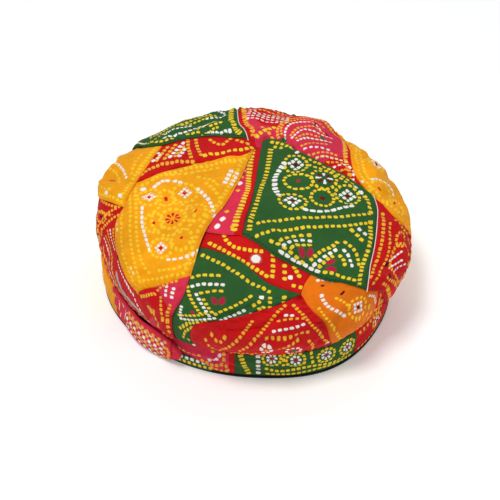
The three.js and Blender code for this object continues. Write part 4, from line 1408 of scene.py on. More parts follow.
        return [
            Patch(
                "side_red_wedge", Wrap.SIDE, Cloth.RED,
                [
                    p.under("back", (4, 46), wedge_end),
                    np.concatenate([p.tucked("back", wedge_end), p.seam("sideToWedge")]),
                    p.back("wedgeToOrange"),
                    np.array([(1, 42), (3, 46)], float),
                ],
                (S.TUCK, S.SEAM, S.SEAM, S.SEAM),
                [
                    row(AMBER_ROW, 4.0, (-50, 58), (-49, 45), (-46.5, 31)),
                    row(AMBER_ROW, 4.0, (-44, 56), (-42, 43), (-39, 33)),
                    row(Dot(2.6, 3.3, Ink.AMBER), 3.6, (-84, 17), (-76, 25), (-64, 28), (-44, 28)),
                    row(Dot(3.2, 3.2, Ink.YELLOW), 4.5, (-39, 33.5), (-30, 37), (-18, 39), (-8, 40), (1, 45)),
                    row(Dot(3.0, 3.0, Ink.WHITE), 4.4, (-63, 33), (-52, 53)),
                    row(Dot(3.0, 3.0, Ink.WHITE), 4.4, (-56, 33), (-51, 45)),
                    row(Dot(2.8, 2.8, Ink.AMBER), 4.4, (-67, 32), (-58, 51)),
                    row(Dot(2.8, 2.8, Ink.AMBER), 4.4, (-59, 33), (-52, 48)),
                    row(Dot(2.8, 2.8, Ink.AMBER), 4.4, (-73, 31), (-64, 49)),
                    spot(-76, 38, 4.6, 3.0, Ink.BLACK, 30),
                    Ring(Dot(2.8, 2.4, Ink.WHITE), (-76, 38), (6, 5), 9),
                    row(AMBER_ROW, 4.0, (-34, 55), (-29, 50), (-24, 48), (-20, 51), (-16, 55)),
                    row(AMBER_ROW, 4.2, (-14, 52), (-8, 48), (-2, 47)),
                ],
                held="gathered",
            ),
            Patch(
                "side_orange", Wrap.SIDE, Cloth.ORANGE,
                [
                    p.under("back", wedge_end, (-151, 107)),
                    p.neck(144.7, 160),
                    p.along("side", (-174, 63), (-99, -12)),
                    np.concatenate(
                        [p.back("sideToOrange"), p.back("sideToWedge")[1:], p.tucked("back", wedge_end)]
                    ),
                ],
                (S.TUCK, S.NECK, S.HEM, S.SEAM),
                [
                    row(Dot(2.8, 2.4, Ink.WHITE), 3.8, (-118, 46), (-108, 38), (-101, 28), (-97, 18)),
                    spot(-114, 22, 7.4, 2.0, Ink.RED, 165),
                    spot(-111, 18.5, 7.4, 2.0, Ink.RED, 165),
                    spot(-116, 5, 4.2, 3.4, Ink.WHITE, 150),
                    spot(-101, -2, 4.0, 3.2, Ink.WHITE, 150),
                    row(PALE_ROW, 4.6, (-122, 40), (-112, 32), (-106, 22), (-103, 12)),
                    row(PALE_ROW, 4.6, (-86, 46), (-90, 34), (-93, 20)),
                    row(PALE_ROW, 4.6, (-132, 24), (-122, 14), (-110, 6)),
                    *paisley(-128, 56, 130, 0.9),
                    Block(PALE_ROW, (-142, 80), 6, 5, 5.4, 5.4, 130),
                ],
                borders=((2, 4.0, PALE_ROW, 4.4), (3, 4.4, Dot(2.4, 3.8, Ink.PALE_YELLOW), 3.6)),
            ),
            Patch(
                "side_big_orange", Wrap.SIDE, Cloth.ORANGE,
                [
                    p.seam("wedgeToOrange"),
                    np.concatenate([p.seam("sideToOrange"), p.along("free", (-99, -12), (-101, -103))]),
                    p.back("orangeToPink"),
                    p.along("diagonal", (-44, -82), (1, 42)),
                ],
                (S.SEAM, S.HEM, S.SEAM, S.HEM),
                orange,
                borders=((0, 5.0, Dot(2.4, 4.0, Ink.PALE_YELLOW), 3.8), (3, 4.6, PALE_ROW, 4.4)),
            ),
            Patch(
                "side_pink_foot", Wrap.SIDE, Cloth.PINK,
                [
                    p.along("free", (-101, -103), (-106, -152)),
                    p.neck(235.1, 239.8),
                    p.along("diagonal", (-93, -160), (-44, -82)),
                    p.seam("orangeToPink"),
                ],
                (S.HEM, S.NECK, S.HEM, S.SEAM),
                [
                    spot(-93, -124, 5.0, 4.0, Ink.LEAF, 20),
                    Ring(AMBER_ROW, (-93, -124), (7, 5.6), 10),
                    row(WHITE_ROW, 4.2, (-64, -92), (-67, -106)),
                    row(WHITE_ROW, 4.2, (-58, -94), (-62, -108)),
                    row(AMBER_ROW, 4.4, (-76, -99), (-66, -92), (-54, -87)),
                    row(Dot(2.0, 3.6, Ink.AMBER), 2.9, (-99, -106), (-88, -105), (-77, -102)),
                    row(AMBER_ROW, 4.2, (-72, -104), (-74, -116), (-78, -128)),
                    row(Dot(2.0, 3.4, Ink.AMBER), 2.9, (-103, -116), (-92, -116), (-84, -120)),
                    row(AMBER_ROW, 4.2, (-64, -112), (-70, -122), (-80, -138)),
                    row(AMBER_ROW, 4.2, (-101, -132), (-94, -136), (-88, -146)),
                ],
                zones=((0, 26.0),),
            ),
        ]

    def back(self) -> list[Patch]:
        """The back wrap, over the side wrap along its front edge."""
        p, S = self.plan, Side
        fine, small = Dot(2.6, 1.8, Ink.WHITE), Dot(2.3, 1.8, Ink.YELLOW)
        rose, ring = Dot(2.3, 1.9, Ink.AMBER), Dot(2.7, 2.3, Ink.YELLOW)
        return [
            Patch(
                "back_green_flap", Wrap.BACK, Cloth.GREEN,
                [
                    p.along("back", (-4, 51), (-97, 71)),
                    p.along("back", (-97, 71), (-151, 107)),
                    p.neck(144.7, 95.9),
                    np.concatenate([p.back("flapToBack"), p.back("flapToPink")[1:]]),
                ],
                (S.HEM, S.HEM, S.NECK, S.SEAM),
                [
                    row(
                        Dot(2.0, 4.2, Ink.YELLOW), 2.9, (-20, 150), (-18, 110), (-17, 80), (-14, 66),
                        (-10, 56),
                    ),
                    row(Dot(2.6, 3.4, Ink.WHITE), 3.4, (-36, 61), (-26, 60), (-16, 62)),
                    row(ROW, 4.2, (-21, 77), (-34, 73), (-44, 66)),
                    row(ROW, 4.2, (-23, 71), (-34, 67)),
                    row(fine, 3.8, (-30, 108), (-24, 100), (-23, 90), (-30, 83), (-38, 82)),
                    row(ROW, 4.2, (-32, 90), (-46, 86), (-62, 76), (-80, 68)),
                    row(WHITE_ROW, 4.2, (-70, 59), (-60, 62), (-50, 67), (-40, 74)),
                    row(ROW, 4.2, (-40, 62), (-52, 60)),
                    row(ROW, 4.2, (-60, 58), (-70, 54), (-84, 60)),
                    row(ROW, 4.0, (-30, 98), (-46, 96), (-62, 88), (-78, 78)),
                    row(WHITE_ROW, 4.0, (-36, 104), (-52, 104), (-68, 96), (-86, 84)),
                    row(ROW, 4.0, (-40, 112), (-58, 112), (-76, 104), (-94, 90)),
                    row(fine, 3.6, (-48, 76), (-58, 71), (-70, 66)),
                    row(small, 3.4, (-26, 66), (-40, 58)),
                    row(small, 3.4, (-28, 87), (-44, 80), (-58, 77)),
                    row(small, 3.4, (-66, 70), (-82, 64), (-94, 72)),
                    row(small, 3.4, (-30, 94), (-48, 87), (-64, 80), (-84, 72)),
                    row(small, 3.4, (-34, 100), (-52, 99), (-68, 91), (-88, 78)),
                    row(small, 3.4, (-38, 108), (-56, 108), (-72, 100), (-92, 86)),
                    row(ROW, 3.8, (-56, 82), (-68, 74), (-84, 66)),
                    row(WHITE_ROW, 4.0, (-28, 76), (-40, 72)),
                    row(ROW, 3.8, (-34, 97), (-52, 91), (-70, 82)),
                    row(WHITE_ROW, 4.4, (-88, 68), (-98, 78), (-108, 86)),
                    *medallion(-74, 136, (26, 26), ring),
                    *paisley(-118, 112, 140, 0.8),
                    *paisley(-38, 150, 90, 0.9),
                ],
                borders=((1, 4.6, ROW, 4.4),),
            ),
            Patch(
                "back_pink", Wrap.BACK, Cloth.PINK,
                [
                    p.seam("flapToPink"),
                    p.back("pinkToBack"),
                    p.back("pinkToOrange"),
                    np.concatenate([p.back("greenToPink"), p.along("back", (3, 47), (-3, 51))]),
                ],
                (S.SEAM, S.SEAM, S.SEAM, S.HEM),
                [
                    spot(49, 79, 5.6, 2.8, Ink.BLACK, 120),
                    spot(59, 71, 5.4, 2.6, Ink.MAROON, 120),
                    spot(54, 62, 6.4, 2.8, Ink.LEAF, 110),
                    spot(24, 54, 4.4, 3.6, Ink.LEAF, 20),
                    row(fine, 3.6, (25, 53), (25, 64), (32, 75), (46, 80), (54, 74)),
                    row(fine, 3.6, (29, 55), (38, 66), (52, 68), (64, 66)),
                    row(fine, 3.6, (33, 50), (42, 58), (54, 58), (62, 56)),
                    row(
                        Dot(2.4, 2.2, Ink.AMBER), 3.4, (20, 54), (19, 66), (28, 81), (46, 93), (62, 87),
                        (72, 68), (71, 44),
                    ),
                    row(fine, 4.2, (38, 43), (50, 46), (60, 44)),
                    row(rose, 3.4, (22, 58), (22, 68), (30, 78), (46, 87), (58, 81)),
                    row(rose, 3.4, (28, 58), (35, 68), (48, 74), (58, 71)),
                    row(rose, 3.4, (32, 54), (42, 62), (54, 63)),
                    row(rose, 3.4, (36, 46), (46, 51), (58, 51)),
                    row(rose, 3.4, (42, 38), (54, 41), (66, 41)),
                    row(rose, 3.4, (56, 31), (66, 33), (74, 31)),
                    row(rose, 3.4, (64, 22), (72, 25)),
                    row(Dot(2.6, 2.0, Ink.CREAM), 3.6, (48, 35), (60, 37), (74, 36)),
                    row(fine, 4.2, (61, 27), (70, 31), (76, 26), (76, 14)),
                    row(Dot(3.0, 3.0, Ink.YELLOW), 4.2, (2, 53), (8, 61), (18, 69)),
                    row(AMBER_ROW, 4.2, (6, 68), (13, 59), (16, 55)),
                    Block(fine, (12, 85), 9, 5, 3.8, 4.2, 352),
                    row(AMBER_ROW, 4.0, (-4, 98), (14, 101), (34, 98)),
                ],
                borders=(
                    (0, 5.2, Dot(2.2, 3.8, Ink.AMBER), 3.1),
                    (2, 4.8, Dot(2.4, 3.4, Ink.AMBER), 3.6),
                    (1, 5.0, AMBER_ROW, 4.0),
                ),
                zones=((0, 5.0), (2, 3.6), (1, 3.4)),
                discs=((80, 8, 34), (18, 88, 20)),
                held="gathered",
            ),
            Patch(
                "back_green", Wrap.BACK, Cloth.GREEN,
                [p.seam("flapToBack"), p.neck(95.9, 69.1), p.back("backToOrange"), p.seam("pinkToBack")],
                (S.SEAM, S.NECK, S.SEAM, S.SEAM),
                [
                    *medallion(20, 150, (24, 24), ring),
                    row(ROW, 4.4, (-6, 118), (20, 123), (42, 116)),
                ],
                borders=((0, 5.4, BAR, 3.4), (2, 5.4, BAR, 3.6), (3, 4.6, ROW, 4.2)),
            ),
        ]

    def left(self) -> list[Patch]:
        """The cloth low on the left, under the side wrap."""
        p, S = self.plan, Side
        small_amber, small_white = Dot(2.5, 2.2, Ink.AMBER), Dot(2.4, 2.0, Ink.WHITE)
        return [
            Patch(
                "left_red_cloth", Wrap.LEFT, Cloth.RED,
                [
                    p.under("side", (-145, 25), (-174, 63)),
                    p.neck(160, 190),
                    p.back("leftCloth"),
                    p.under("side", (-99, -12), (-145, 25)),
                ],
                (S.TUCK, S.NECK, S.SEAM, S.TUCK),
                [
                    row(AMBER_ROW, 4.2, (-106, -10), (-118, -4), (-130, 6)),
                    row(AMBER_ROW, 4.0, (-110, -18), (-120, -14), (-134, -6), (-146, 6)),
                    Ring(AMBER_ROW, (-130, -14), (9, 6), 12, 150),
                    spot(-130, -14, 4.4, 2.4, Ink.BLACK, 150),
                    *paisley(-156, -4, 150, 0.8),
                    Block(AMBER_ROW, (-160, 30), 6, 7, 5.0, 5.0, 100),
                ],
                borders=((2, 4.0, AMBER_ROW, 4.0),),
            ),
            Patch(
                "left_pink_cloth", Wrap.LEFT, Cloth.PINK,
                [
                    p.seam("leftCloth"),
                    p.neck(190, 235.1),
                    p.under("free", (-106, -152), (-110, -80)),
                    p.under("free", (-110, -80), (-99, -12)),
                ],
                (S.SEAM, S.NECK, S.TUCK, S.TUCK),
                [
                    row(Dot(7.0, 3.0, Ink.GREY), 7.0, (-129, -74), (-128, -88), (-121, -102), (-110, -117)),
                    spot(-117, -62, 4.6, 2.6, Ink.BLACK, 80),
                    spot(-128, -48, 4.6, 2.6, Ink.LEAF, 100),
                    spot(-112, -116, 6.0, 3.0, Ink.LEAF, 80),
                    row(small_amber, 3.3, (-113, -30), (-117, -48), (-113, -74), (-111, -90)),
                    row(small_white, 3.4, (-118, -30), (-122, -46), (-121, -54)),
                    row(small_amber, 3.3, (-123, -30), (-128, -42)),
                    row(small_white, 3.4, (-120, -66), (-119, -82), (-113, -98)),
                    row(small_amber, 3.3, (-133, -34), (-134, -56), (-134, -76), (-131, -92), (-124, -106)),
                    row(small_white, 3.5, (-139, -34), (-140, -58), (-140, -80), (-136, -96), (-127, -112)),
                    row(small_amber, 3.3, (-145, -36), (-146, -60), (-146, -82), (-141, -100), (-130, -118)),
                    row(small_white, 3.5, (-111, -98), (-112, -108), (-110, -124)),
                    row(small_amber, 3.3, (-117, -106), (-117, -120), (-112, -134)),
                    row(small_white, 3.5, (-151, -38), (-153, -62), (-151, -86), (-145, -106), (-134, -124)),
                    row(small_amber, 3.6, (-158, -40), (-160, -64), (-157, -92), (-148, -114)),
                ],
                borders=((0, 4.0, AMBER_ROW, 4.0),),
                zones=((0, 30.0), (3, 44.0)),
            ),
        ]

    # Shapes

    def coons(self, patch: Patch, s: Array, t: Array) -> Array:
        """Places on the plan inside a patch's four sides.

        Args:
            patch: the patch.
            s: shares from its first side to its third.
            t: shares from its fourth side to its second.

        Returns:
            A grid of places, len(s) by len(t) by 2.
        """
        first, second, third, fourth = self.closed(patch)
        third, fourth = third[::-1], fourth[::-1]

        def at(line: Array, share: Array) -> Array:
            along = np.concatenate([[0], np.cumsum(np.linalg.norm(np.diff(line, axis=0), axis=1))])
            return np.stack([np.interp(share * along[-1], along, line[:, k]) for k in range(2)], -1)

        west, east, north, south = at(first, t), at(third, t), at(fourth, s), at(second, s)
        S, T = s[:, None, None], t[None, :, None]
        across = west[None] * (1 - S) + east[None] * S + north[:, None] * (1 - T) + south[:, None] * T
        top = west[0] * (1 - S) + east[0] * S
        low = west[-1] * (1 - S) + east[-1] * S
        return across - (top * (1 - T) + low * T)

    def closed(self, patch: Patch) -> list[Array]:
        """A patch's sides, each starting where the one before it ends."""
        sides = [np.array(side, float) for side in patch.sides]
        for i, side in enumerate(sides):
            side[0] = sides[i - 1][-1]
        return sides

    def spans(self, patch: Patch) -> tuple[float, float]:
        """A patch's longest ways across (columns) and down (rows)."""
        first, second, third, fourth = (length_of(side) for side in self.closed(patch))
        return max(second, fourth), max(first, third)

    def shares(self, long: float, other: float) -> Array:
        """Shares of a way across a patch, closer together by its ends."""
        edge = [0.0, 0.35, 0.8, 1.4, 2.2, 3.2]
        edge = [e for e in edge if e < other / 3]
        count = max(3, round((long - 2 * edge[-1]) / self.cell))
        middle = np.linspace(edge[-1], long - edge[-1], count + 1)
        return np.concatenate([edge[:-1], middle, long - np.array(edge[:-1])[::-1]]) / long

    def turned(self, patch: Patch) -> bool:
        """Whether a patch's sides run anticlockwise, so that its columns have to be reversed."""
        loop = np.concatenate(self.closed(patch))
        after = np.roll(loop, -1, axis=0)
        return float((loop[:, 0] * after[:, 1] - loop[:, 1] * after[:, 0]).sum()) > 0

    def raised(self, patch: Patch, xy: Array, s: Array, t: Array, slack: Array, ripples: Ripples) -> Array:
        """How far each place stands over the crown's form.

        Args:
            patch: the patch.
            xy: places on the plan, one a row.
            s: their shares across the patch.
            t: their shares down it.
            slack: what the cloth simulation moved them.
            ripples: the patch's waves.

        Returns:
            Heights in millimetres.
        """
        open_share = self.plan.open_share(patch.wrap, xy)
        crest = 16 * s * (1 - s) * t * (1 - t)
        rise = self.plan.lift(patch.wrap, xy) + self.layering.puff * crest**0.6 * open_share
        rise += slack * (0.25 + 0.75 * open_share)
        rise += 0.7 * ripples.lie(xy) * open_share * np.minimum(1, crest * 3)
        rise += 0.25 * ripples.lie(xy * 2.6) * open_share * np.minimum(1, crest * 6)
        from_gather = xy - self.plan.layering.gather
        far = np.linalg.norm(from_gather, axis=1)
        round_gather = np.arctan2(from_gather[:, 1], from_gather[:, 0])
        pleat = np.sin(13 * round_gather + 2.2 * np.sin(3 * round_gather)) * np.exp(-far / 24)
        rise += 0.8 * pleat * smooth(far / 12) * open_share
        for line, crease in self.creases:
            away, _, end = line.measure(xy)
            d = np.abs(away) / crease.width
            fold = -np.exp(-d * d) + 0.55 * np.exp(-((d - 1.7) ** 2))
            fade = np.where(end, 0.25, 1.0)
            rise += 1.3 * crease.depth * fold * fade * open_share
        return rise

    def build(self) -> list[bpy.types.Object]:
        """Makes, settles and prints every patch.

        Returns:
            The pieces.
        """
        sim = ClothSim()
        normals: list[Array] = []
        grids: list[Array] = []
        for patch in self.patches:
            across, down = self.spans(patch)
            columns, rows = (max(5, round(x / self.slack_cell)) for x in (across, down))
            plan = self.coons(patch, np.linspace(0, 1, columns + 1), np.linspace(0, 1, rows + 1))
            xy = plan.reshape(-1, 2)
            points = self.form.point(
                xy[:, 0], xy[:, 1], self.plan.lift(patch.wrap, xy)
            ).reshape(*plan.shape[:2], 3)
            normal = self.form.normal(xy[:, 0], xy[:, 1]).reshape(points.shape)
            if not self.turned(patch):
                points_in, normal_in = points, normal
            else:
                points_in, normal_in = points[::-1], normal[::-1]
            pins = np.zeros(points.shape[:2])
            pins[[0, -1], :] = pins[:, [0, -1]] = 1
            sim.add(patch.name, points_in, pins)
            normals.append(normal_in)
        moved = sim.run(normals)
        for patch, off in zip(self.patches, moved, strict=True):
            grids.append(off[::-1] if self.turned(patch) else off)
        pieces = []
        for number, patch in enumerate(self.patches):
            pieces.append(self.dress(patch, grids[number] if grids else None, number))
        return pieces

    def dress(self, patch: Patch, slack_grid: Array | None, seed: int) -> bpy.types.Object:
        """Args:
            patch: the patch.
            slack_grid: what the simulation moved its coarse grid, or None.
            seed: the number that its waves are chosen from.

        Returns:
            The piece.
        """
        across, down = self.spans(patch)
        s, t = self.shares(across, across), self.shares(down, down)
        plan = self.coons(patch, s, t)
        S, T = np.meshgrid(s, t, indexing="ij")
        xy, flat_s, flat_t = plan.reshape(-1, 2), S.ravel(), T.ravel()
        slack = np.zeros(len(xy)) if slack_grid is None else sample_grid(slack_grid, flat_s, flat_t)
        ripples = Ripples(100 + seed)
        rise = self.raised(patch, xy, flat_s, flat_t, slack, ripples)
        away = self.distances(plan)
        outer = rise.copy()
        inner = self.plan.lift(patch.wrap, xy) - self.layering.cloth
        open_share = self.plan.open_share(patch.wrap, xy)
        for k, kind in enumerate(patch.kinds):
            d = away[k].ravel()
            arc = (flat_t if k in (0, 2) else flat_s) * (down if k in (0, 2) else across)
            if kind is Side.SEAM:
                outer -= 0.75 * self.sheet.round_off(d)
                outer += (
                    0.75 * open_share * ripples.pucker(arc + 31 * k) * np.exp(-((d - 2.5) ** 2) / 22)
                    * smooth(d / 2)
                )
            elif kind is Side.HEM:
                outer -= self.sheet.round_off(d) + 0.9 * (1 - smooth(d / 9))
                inner = inner + 0.5 * self.sheet.round_off(d)
                outer += 0.35 * np.exp(-((d - 1.8) ** 2) / 1.2) - 0.35 * np.exp(-((d - 4.2) ** 2) / 0.5)
                outer += (
                    0.4 * open_share * ripples.pucker(arc + 17 * k) * np.exp(-((d - 3) ** 2) / 30)
                    * smooth(d / 2)
                )
            elif kind is Side.NECK:
                outer += 0.7 * ripples.pucker(arc * 0.8 + 5) * np.exp(-(d**2) / 500) * smooth((d - 2) / 8)
        outer = np.maximum(outer, inner + 0.05)
        shift = self.trimmed(plan)
        ox, oy = shift[..., 0].ravel(), shift[..., 1].ravel()
        top = self.form.point(ox, oy, outer).reshape(*plan.shape[:2], 3)
        low = self.form.point(ox, oy, inner).reshape(*plan.shape[:2], 3)
        made = self.sheet.build(f"{patch.name}_sheet", top, low, plan, not self.turned(patch))
        self.sheet.print_on(made, plan, [*patch.motifs, *self.border_rows(patch)], self.zone(patch, plan))
        self.declare(patch, made, top)
        return made

    def trimmed(self, plan: Array) -> Array:
        """The grid with half the seam gap taken off along each side."""
        gap = self.layering.seam_gap / 2
        out = plan.copy()
        for axis in (0, 1):
            for edge, inside in ((0, 1), (-1, -2)):
                at: list[slice | int] = [slice(None), slice(None)]
                at[axis] = edge
                to = list(at)
                to[axis] = inside
                step = plan[tuple(to)] - plan[tuple(at)]
                size = np.maximum(np.linalg.norm(step, axis=-1, keepdims=True), 1e-6)
                out[tuple(at)] += step / size * np.minimum(gap, size * 0.4)
        return out

    @staticmethod
    def distances(plan: Array) -> list[Array]:
        """The distance of each grid place from the patch's four sides, measured along the grid's lines."""
        across = np.concatenate(
            [np.zeros((1, plan.shape[1])), np.cumsum(np.linalg.norm(np.diff(plan, axis=0), axis=-1), 0)]
        )
        down = np.concatenate(
            [np.zeros((plan.shape[0], 1)), np.cumsum(np.linalg.norm(np.diff(plan, axis=1), axis=-1), 1)], 1
        )
        return [across, down[:, -1:] - down, across[-1:] - across, down]

    def border_rows(self, patch: Patch) -> list[Motif]:
        """The printed rows that follow a patch's sides."""
        rows: list[Motif] = []
        sides = self.closed(patch)
        centre = self.coons(patch, np.array([0.5]), np.array([0.5]))[0]
        for number, offset, dot, pitch in patch.borders:
            side = sides[number]
            sign = 1 if PlanLine(side, 90).measure(centre)[0][0] > 0 else -1
            rows.append(Row(dot, tuple(map(tuple, side)), pitch, sign * offset, 2.0))
        return rows

    def zone(self, patch: Patch, plan: Array) -> Array:
        """How far each place lies inside the patch's printed border band, in millimetres."""
        xy = plan.reshape(-1, 2)
        zone = np.full(len(xy), -9.0)
        sides = self.closed(patch)
        for number, width in patch.zones:
            away = np.abs(PlanLine(sides[number], 90).measure(xy)[0])
            zone = np.maximum(zone, width - away)
        for x, y, radius in patch.discs:
            zone = np.maximum(zone, radius - np.hypot(xy[:, 0] - x, xy[:, 1] - y))
        return zone.reshape(plan.shape[:2])

    def declare(self, patch: Patch, made: bpy.types.Object, top: Array) -> None:
        """Gives the patch its cloth, puts it under the root body, hides the solid that it stands for and logs
        its size.

        The logged size is not the rectangle round the cut. It is the patch's longest spans on the plan, with
        an allowance, and it is scaled where the area would be a smaller share of it than the frame takes. That
        makes some sizes wrong. The area is that of the upper face, less a guessed share for its slack.
        """
        across, down = self.spans(patch)
        area = face_area(top) / self.slack_share
        wide, long = across + self.seam_allowance, down + self.seam_allowance
        while wide * long < area:
            wide, long = wide * self.widen, long * self.widen
        while area < self.least_fill * wide * long:
            wide, long = wide * self.narrow, long * self.narrow
        stand_for(made, patch.name, patch.cloth)
        log.info("%s: %d faces, cut %.0f by %.0f mm", patch.name, len(made.data.polygons), wide, long)


@dataclass(frozen=True)
class TurnRow:
    """A row of a band turn's table: its lower and upper edge (0 runs up to the crown) and its raise."""

    azimuth: float
    bottom: float
    top: float
    raised: float


@dataclass(frozen=True)
class BandFold:
    """A fold pressed into the band: azimuth and height of its two ends, depth and width."""

    start: tuple[float, float]
    end: tuple[float, float]
    depth: float
    width: float


@dataclass
class BandPatch:
    """One patch of a band turn, between two azimuths."""

    name: str
    cloth: Cloth
    start: float
    end: float
    table: tuple[TurnRow, ...]
    ends: tuple[Side, Side]
    motifs: list[Motif] = field(default_factory=list)
    zones: tuple[tuple[float, float, float], ...] = ()
    rounded_end: float = 0.0  # how far its last end is rounded off, in degrees


class Band:
    """The turned band round the bottom: the right turn, the left turn and the narrow lower turn."""

    bottom = 2.8
    inner = 3.4
    roll = 0.8
    swell = 1.4
    layer = 4.8
    under_gap = 0.5
    lower_top = 11.0
    lower_face = 4.1
    cell = 1.7
    slack_share = 1.02
    end_allowance = 10
    strip = 32.0
    least_strip = 12.0
    least_fill = 0.32
    heighten = 1.05
    shorten = 0.95
    folds = (
        BandFold((236, 15), (262, 13), 1.0, 2.2),
        BandFold((248, 17), (276, 8), 1.1, 2.4),
        BandFold((262, 16), (300, 10), 0.9, 2.4),
        BandFold((286, 20), (322, 17), 0.8, 2.6),
        BandFold((300, 8), (336, 12), 0.9, 2.4),
        BandFold((330, 18), (372, 10), 1.0, 2.6),
        BandFold((352, 9), (396, 15), 0.9, 2.4),
        BandFold((386, 19), (430, 9), 1.0, 2.6),
        BandFold((416, 8), (456, 16), 0.9, 2.6),
        BandFold((448, 18), (490, 10), 1.0, 2.6),
        BandFold((138, 16), (176, 10), 1.0, 2.6),
        BandFold((160, 20), (206, 24), 1.0, 2.8),
        BandFold((176, 9), (222, 14), 1.0, 2.6),
        BandFold((196, 26), (236, 19), 0.9, 2.4),
        BandFold((206, 12), (236, 9), 0.8, 2.2),
    )

    def __init__(self, form: CrownForm, sheet: ClothSheet) -> None:
        """Keeps the form and lists the patches."""
        self.form = form
        self.sheet = sheet
        low, over = self.lower_top + 0.9, self.layer
        right = (
            TurnRow(227, low, 0, 0),
            TurnRow(244, low, 0, 0),
            TurnRow(255, self.bottom, 0, 0),
            TurnRow(478, self.bottom, 0, 0),
            TurnRow(494, self.bottom, 0, over),
            TurnRow(508, self.bottom, 0, over),
        )
        left = (
            TurnRow(136, self.bottom, 22.1, 0),
            TurnRow(164, self.bottom, 24, 0),
            TurnRow(186, self.bottom, 34, 0),
            TurnRow(206, self.bottom, 34, 0.5),
            TurnRow(224, self.bottom, 28.5, over),
            TurnRow(234, self.bottom, 26.5, over),
            TurnRow(242, self.bottom, 21, over),
        )
        dense = Dot(2.8, 2.6, Ink.AMBER)
        S = Side
        self.patches = [
            BandPatch(
                "band_right_pink", Cloth.PINK, 227, 263, right, (S.TUCK, S.SEAM),
                [
                    row(WHITE_ROW, 4.6, (52, 13), (58, 15), (64, 23)),
                    row(dense, 4.2, (26, 19), (40, 16), (48, 18)),
                    row(dense, 4.2, (46, 12), (58, 9.5), (66, 12)),
                    row(dense, 4.2, (50, 8), (62, 5), (70, 5)),
                    row(dense, 4.2, (58, 22), (56, 26)),
                    row(dense, 4.0, (70, 5), (67, 14), (66, 25)),
                ],
                zones=((72.5, 0.0, 4.6),),
            ),
            BandPatch(
                "band_front_green", Cloth.GREEN, 263, 311, right, (S.SEAM, S.SEAM),
                [
                    *self.band_flower(29, 22),
                    *self.band_flower(47, 20),
                    *self.band_flower(71, 19),
                    *self.band_flower(90, 18),
                    row(Dot(2.1, 4.2, Ink.YELLOW), 3.1, (4.5, 25), (8, 14), (11.5, 4)),
                    row(Dot(2.6, 3.6, Ink.WHITE), 4.2, (18.5, 26), (18.5, 14), (18.8, 4)),
                    row(Dot(2.9, 2.3, Ink.YELLOW), 4.0, (24, 6), (44, 4.6), (68, 6.4), (96, 5)),
                    row(Dot(2.9, 2.3, Ink.YELLOW), 4.1, (23, 12), (36, 9), (58, 10.6), (80, 8.6), (97, 10)),
                    row(Dot(2.8, 2.2, Ink.YELLOW), 3.9, (37.5, 14), (38.6, 27)),
                    row(Dot(2.8, 2.2, Ink.YELLOW), 3.9, (60, 14), (58.6, 27)),
                ],
            ),
            BandPatch(
                "band_side_red", Cloth.RED, 311, 372, right, (S.SEAM, S.SEAM),
                [*self.rows_of(126, dense), *self.band_flower(30, 16), *self.band_flower(80, 16)],
            ),
            BandPatch(
                "band_back_orange", Cloth.ORANGE, 372, 440, right, (S.SEAM, S.SEAM),
                [
                    *self.band_flower(30, 14),
                    *self.band_flower(70, 14),
                    *self.band_flower(110, 14),
                    *self.rows_of(140, PALE_ROW),
                ],
            ),
            BandPatch(
                "band_back_green", Cloth.GREEN, 440, 508, right, (S.SEAM, S.HEM),
                [
                    *self.band_flower(30, 14),
                    *self.band_flower(70, 14),
                    *self.band_flower(110, 14),
                    *self.rows_of(146, ROW),
                ],
            ),
            BandPatch(
                "band_left_orange", Cloth.ORANGE, 136, 203, left, (S.TUCK, S.SEAM),
                [*self.band_flower(100, 17), *self.band_flower(50, 13), *self.rows_of(150, PALE_ROW)],
            ),
            BandPatch(
                "band_left_pink", Cloth.PINK, 203, 242, left, (S.SEAM, S.HEM),
                [
                    row(Dot(3.8, 1.3, Ink.CREAM), 4.0, (5, 31), (9, 20), (7, 6)),
                    row(Dot(3.8, 1.3, Ink.CREAM), 4.0, (17, 30), (21, 19), (19, 5)),
                    Block(Dot(2.9, 2.7, Ink.WHITE), (44, 14), 8, 4, 5.7, 5.6, 352),
                    Block(dense, (46.9, 16.8), 8, 4, 5.7, 5.6, 352),
                    row(dense, 3.8, (24, 25), (44, 25), (62, 20)),
                    row(dense, 3.6, (69, 18), (71, 12), (69, 6)),
                ],
                zones=((73.5, 0.0, 2.0),),
                rounded_end=8.0,
            ),
        ]

    @staticmethod
    def band_flower(x: float, z: float) -> list[Motif]:
        """A flower of white petals round a rose middle, in a ring of yellow dots."""
        return [
            spot(x, z, 2.6, 2.6, Ink.ROSE),
            Ring(Dot(1.9, 2.4, Ink.WHITE), (x, z), (3.2, 3.2), 7),
            Ring(Dot(2.5, 2.2, Ink.YELLOW), (x, z), (7.0, 6.2), 12),
        ]

    @staticmethod
    def rows_of(long: float, dot: Dot) -> list[Motif]:
        """Two rows along a band patch, near its lower and upper edges."""
        return [
            Row(dot, ((2, 5.2), (long / 2, 4.8), (long - 2, 5.2)), 5.0),
            Row(dot, ((2, 23), (long / 2, 24), (long - 2, 23)), 5.0),
        ]

    @staticmethod
    def from_table(table: tuple[TurnRow, ...], azimuth: Array, column: str) -> Array:
        """A column between the rows of a turn's table, eased from one row to the next."""
        at = np.array([row.azimuth for row in table])
        values = np.array([getattr(row, column) for row in table], float)
        after = np.clip(np.searchsorted(at, azimuth, side="left"), 1, len(at) - 1)
        share = smooth((azimuth - at[after - 1]) / (at[after] - at[after - 1]))
        return values[after - 1] * (1 - share) + values[after] * share

    def build(self) -> list[bpy.types.Object]:
        """Makes every band patch and the lower turn."""
        return [self.patch(p, 200 + i) for i, p in enumerate(self.patches)] + [self.lower_turn()]

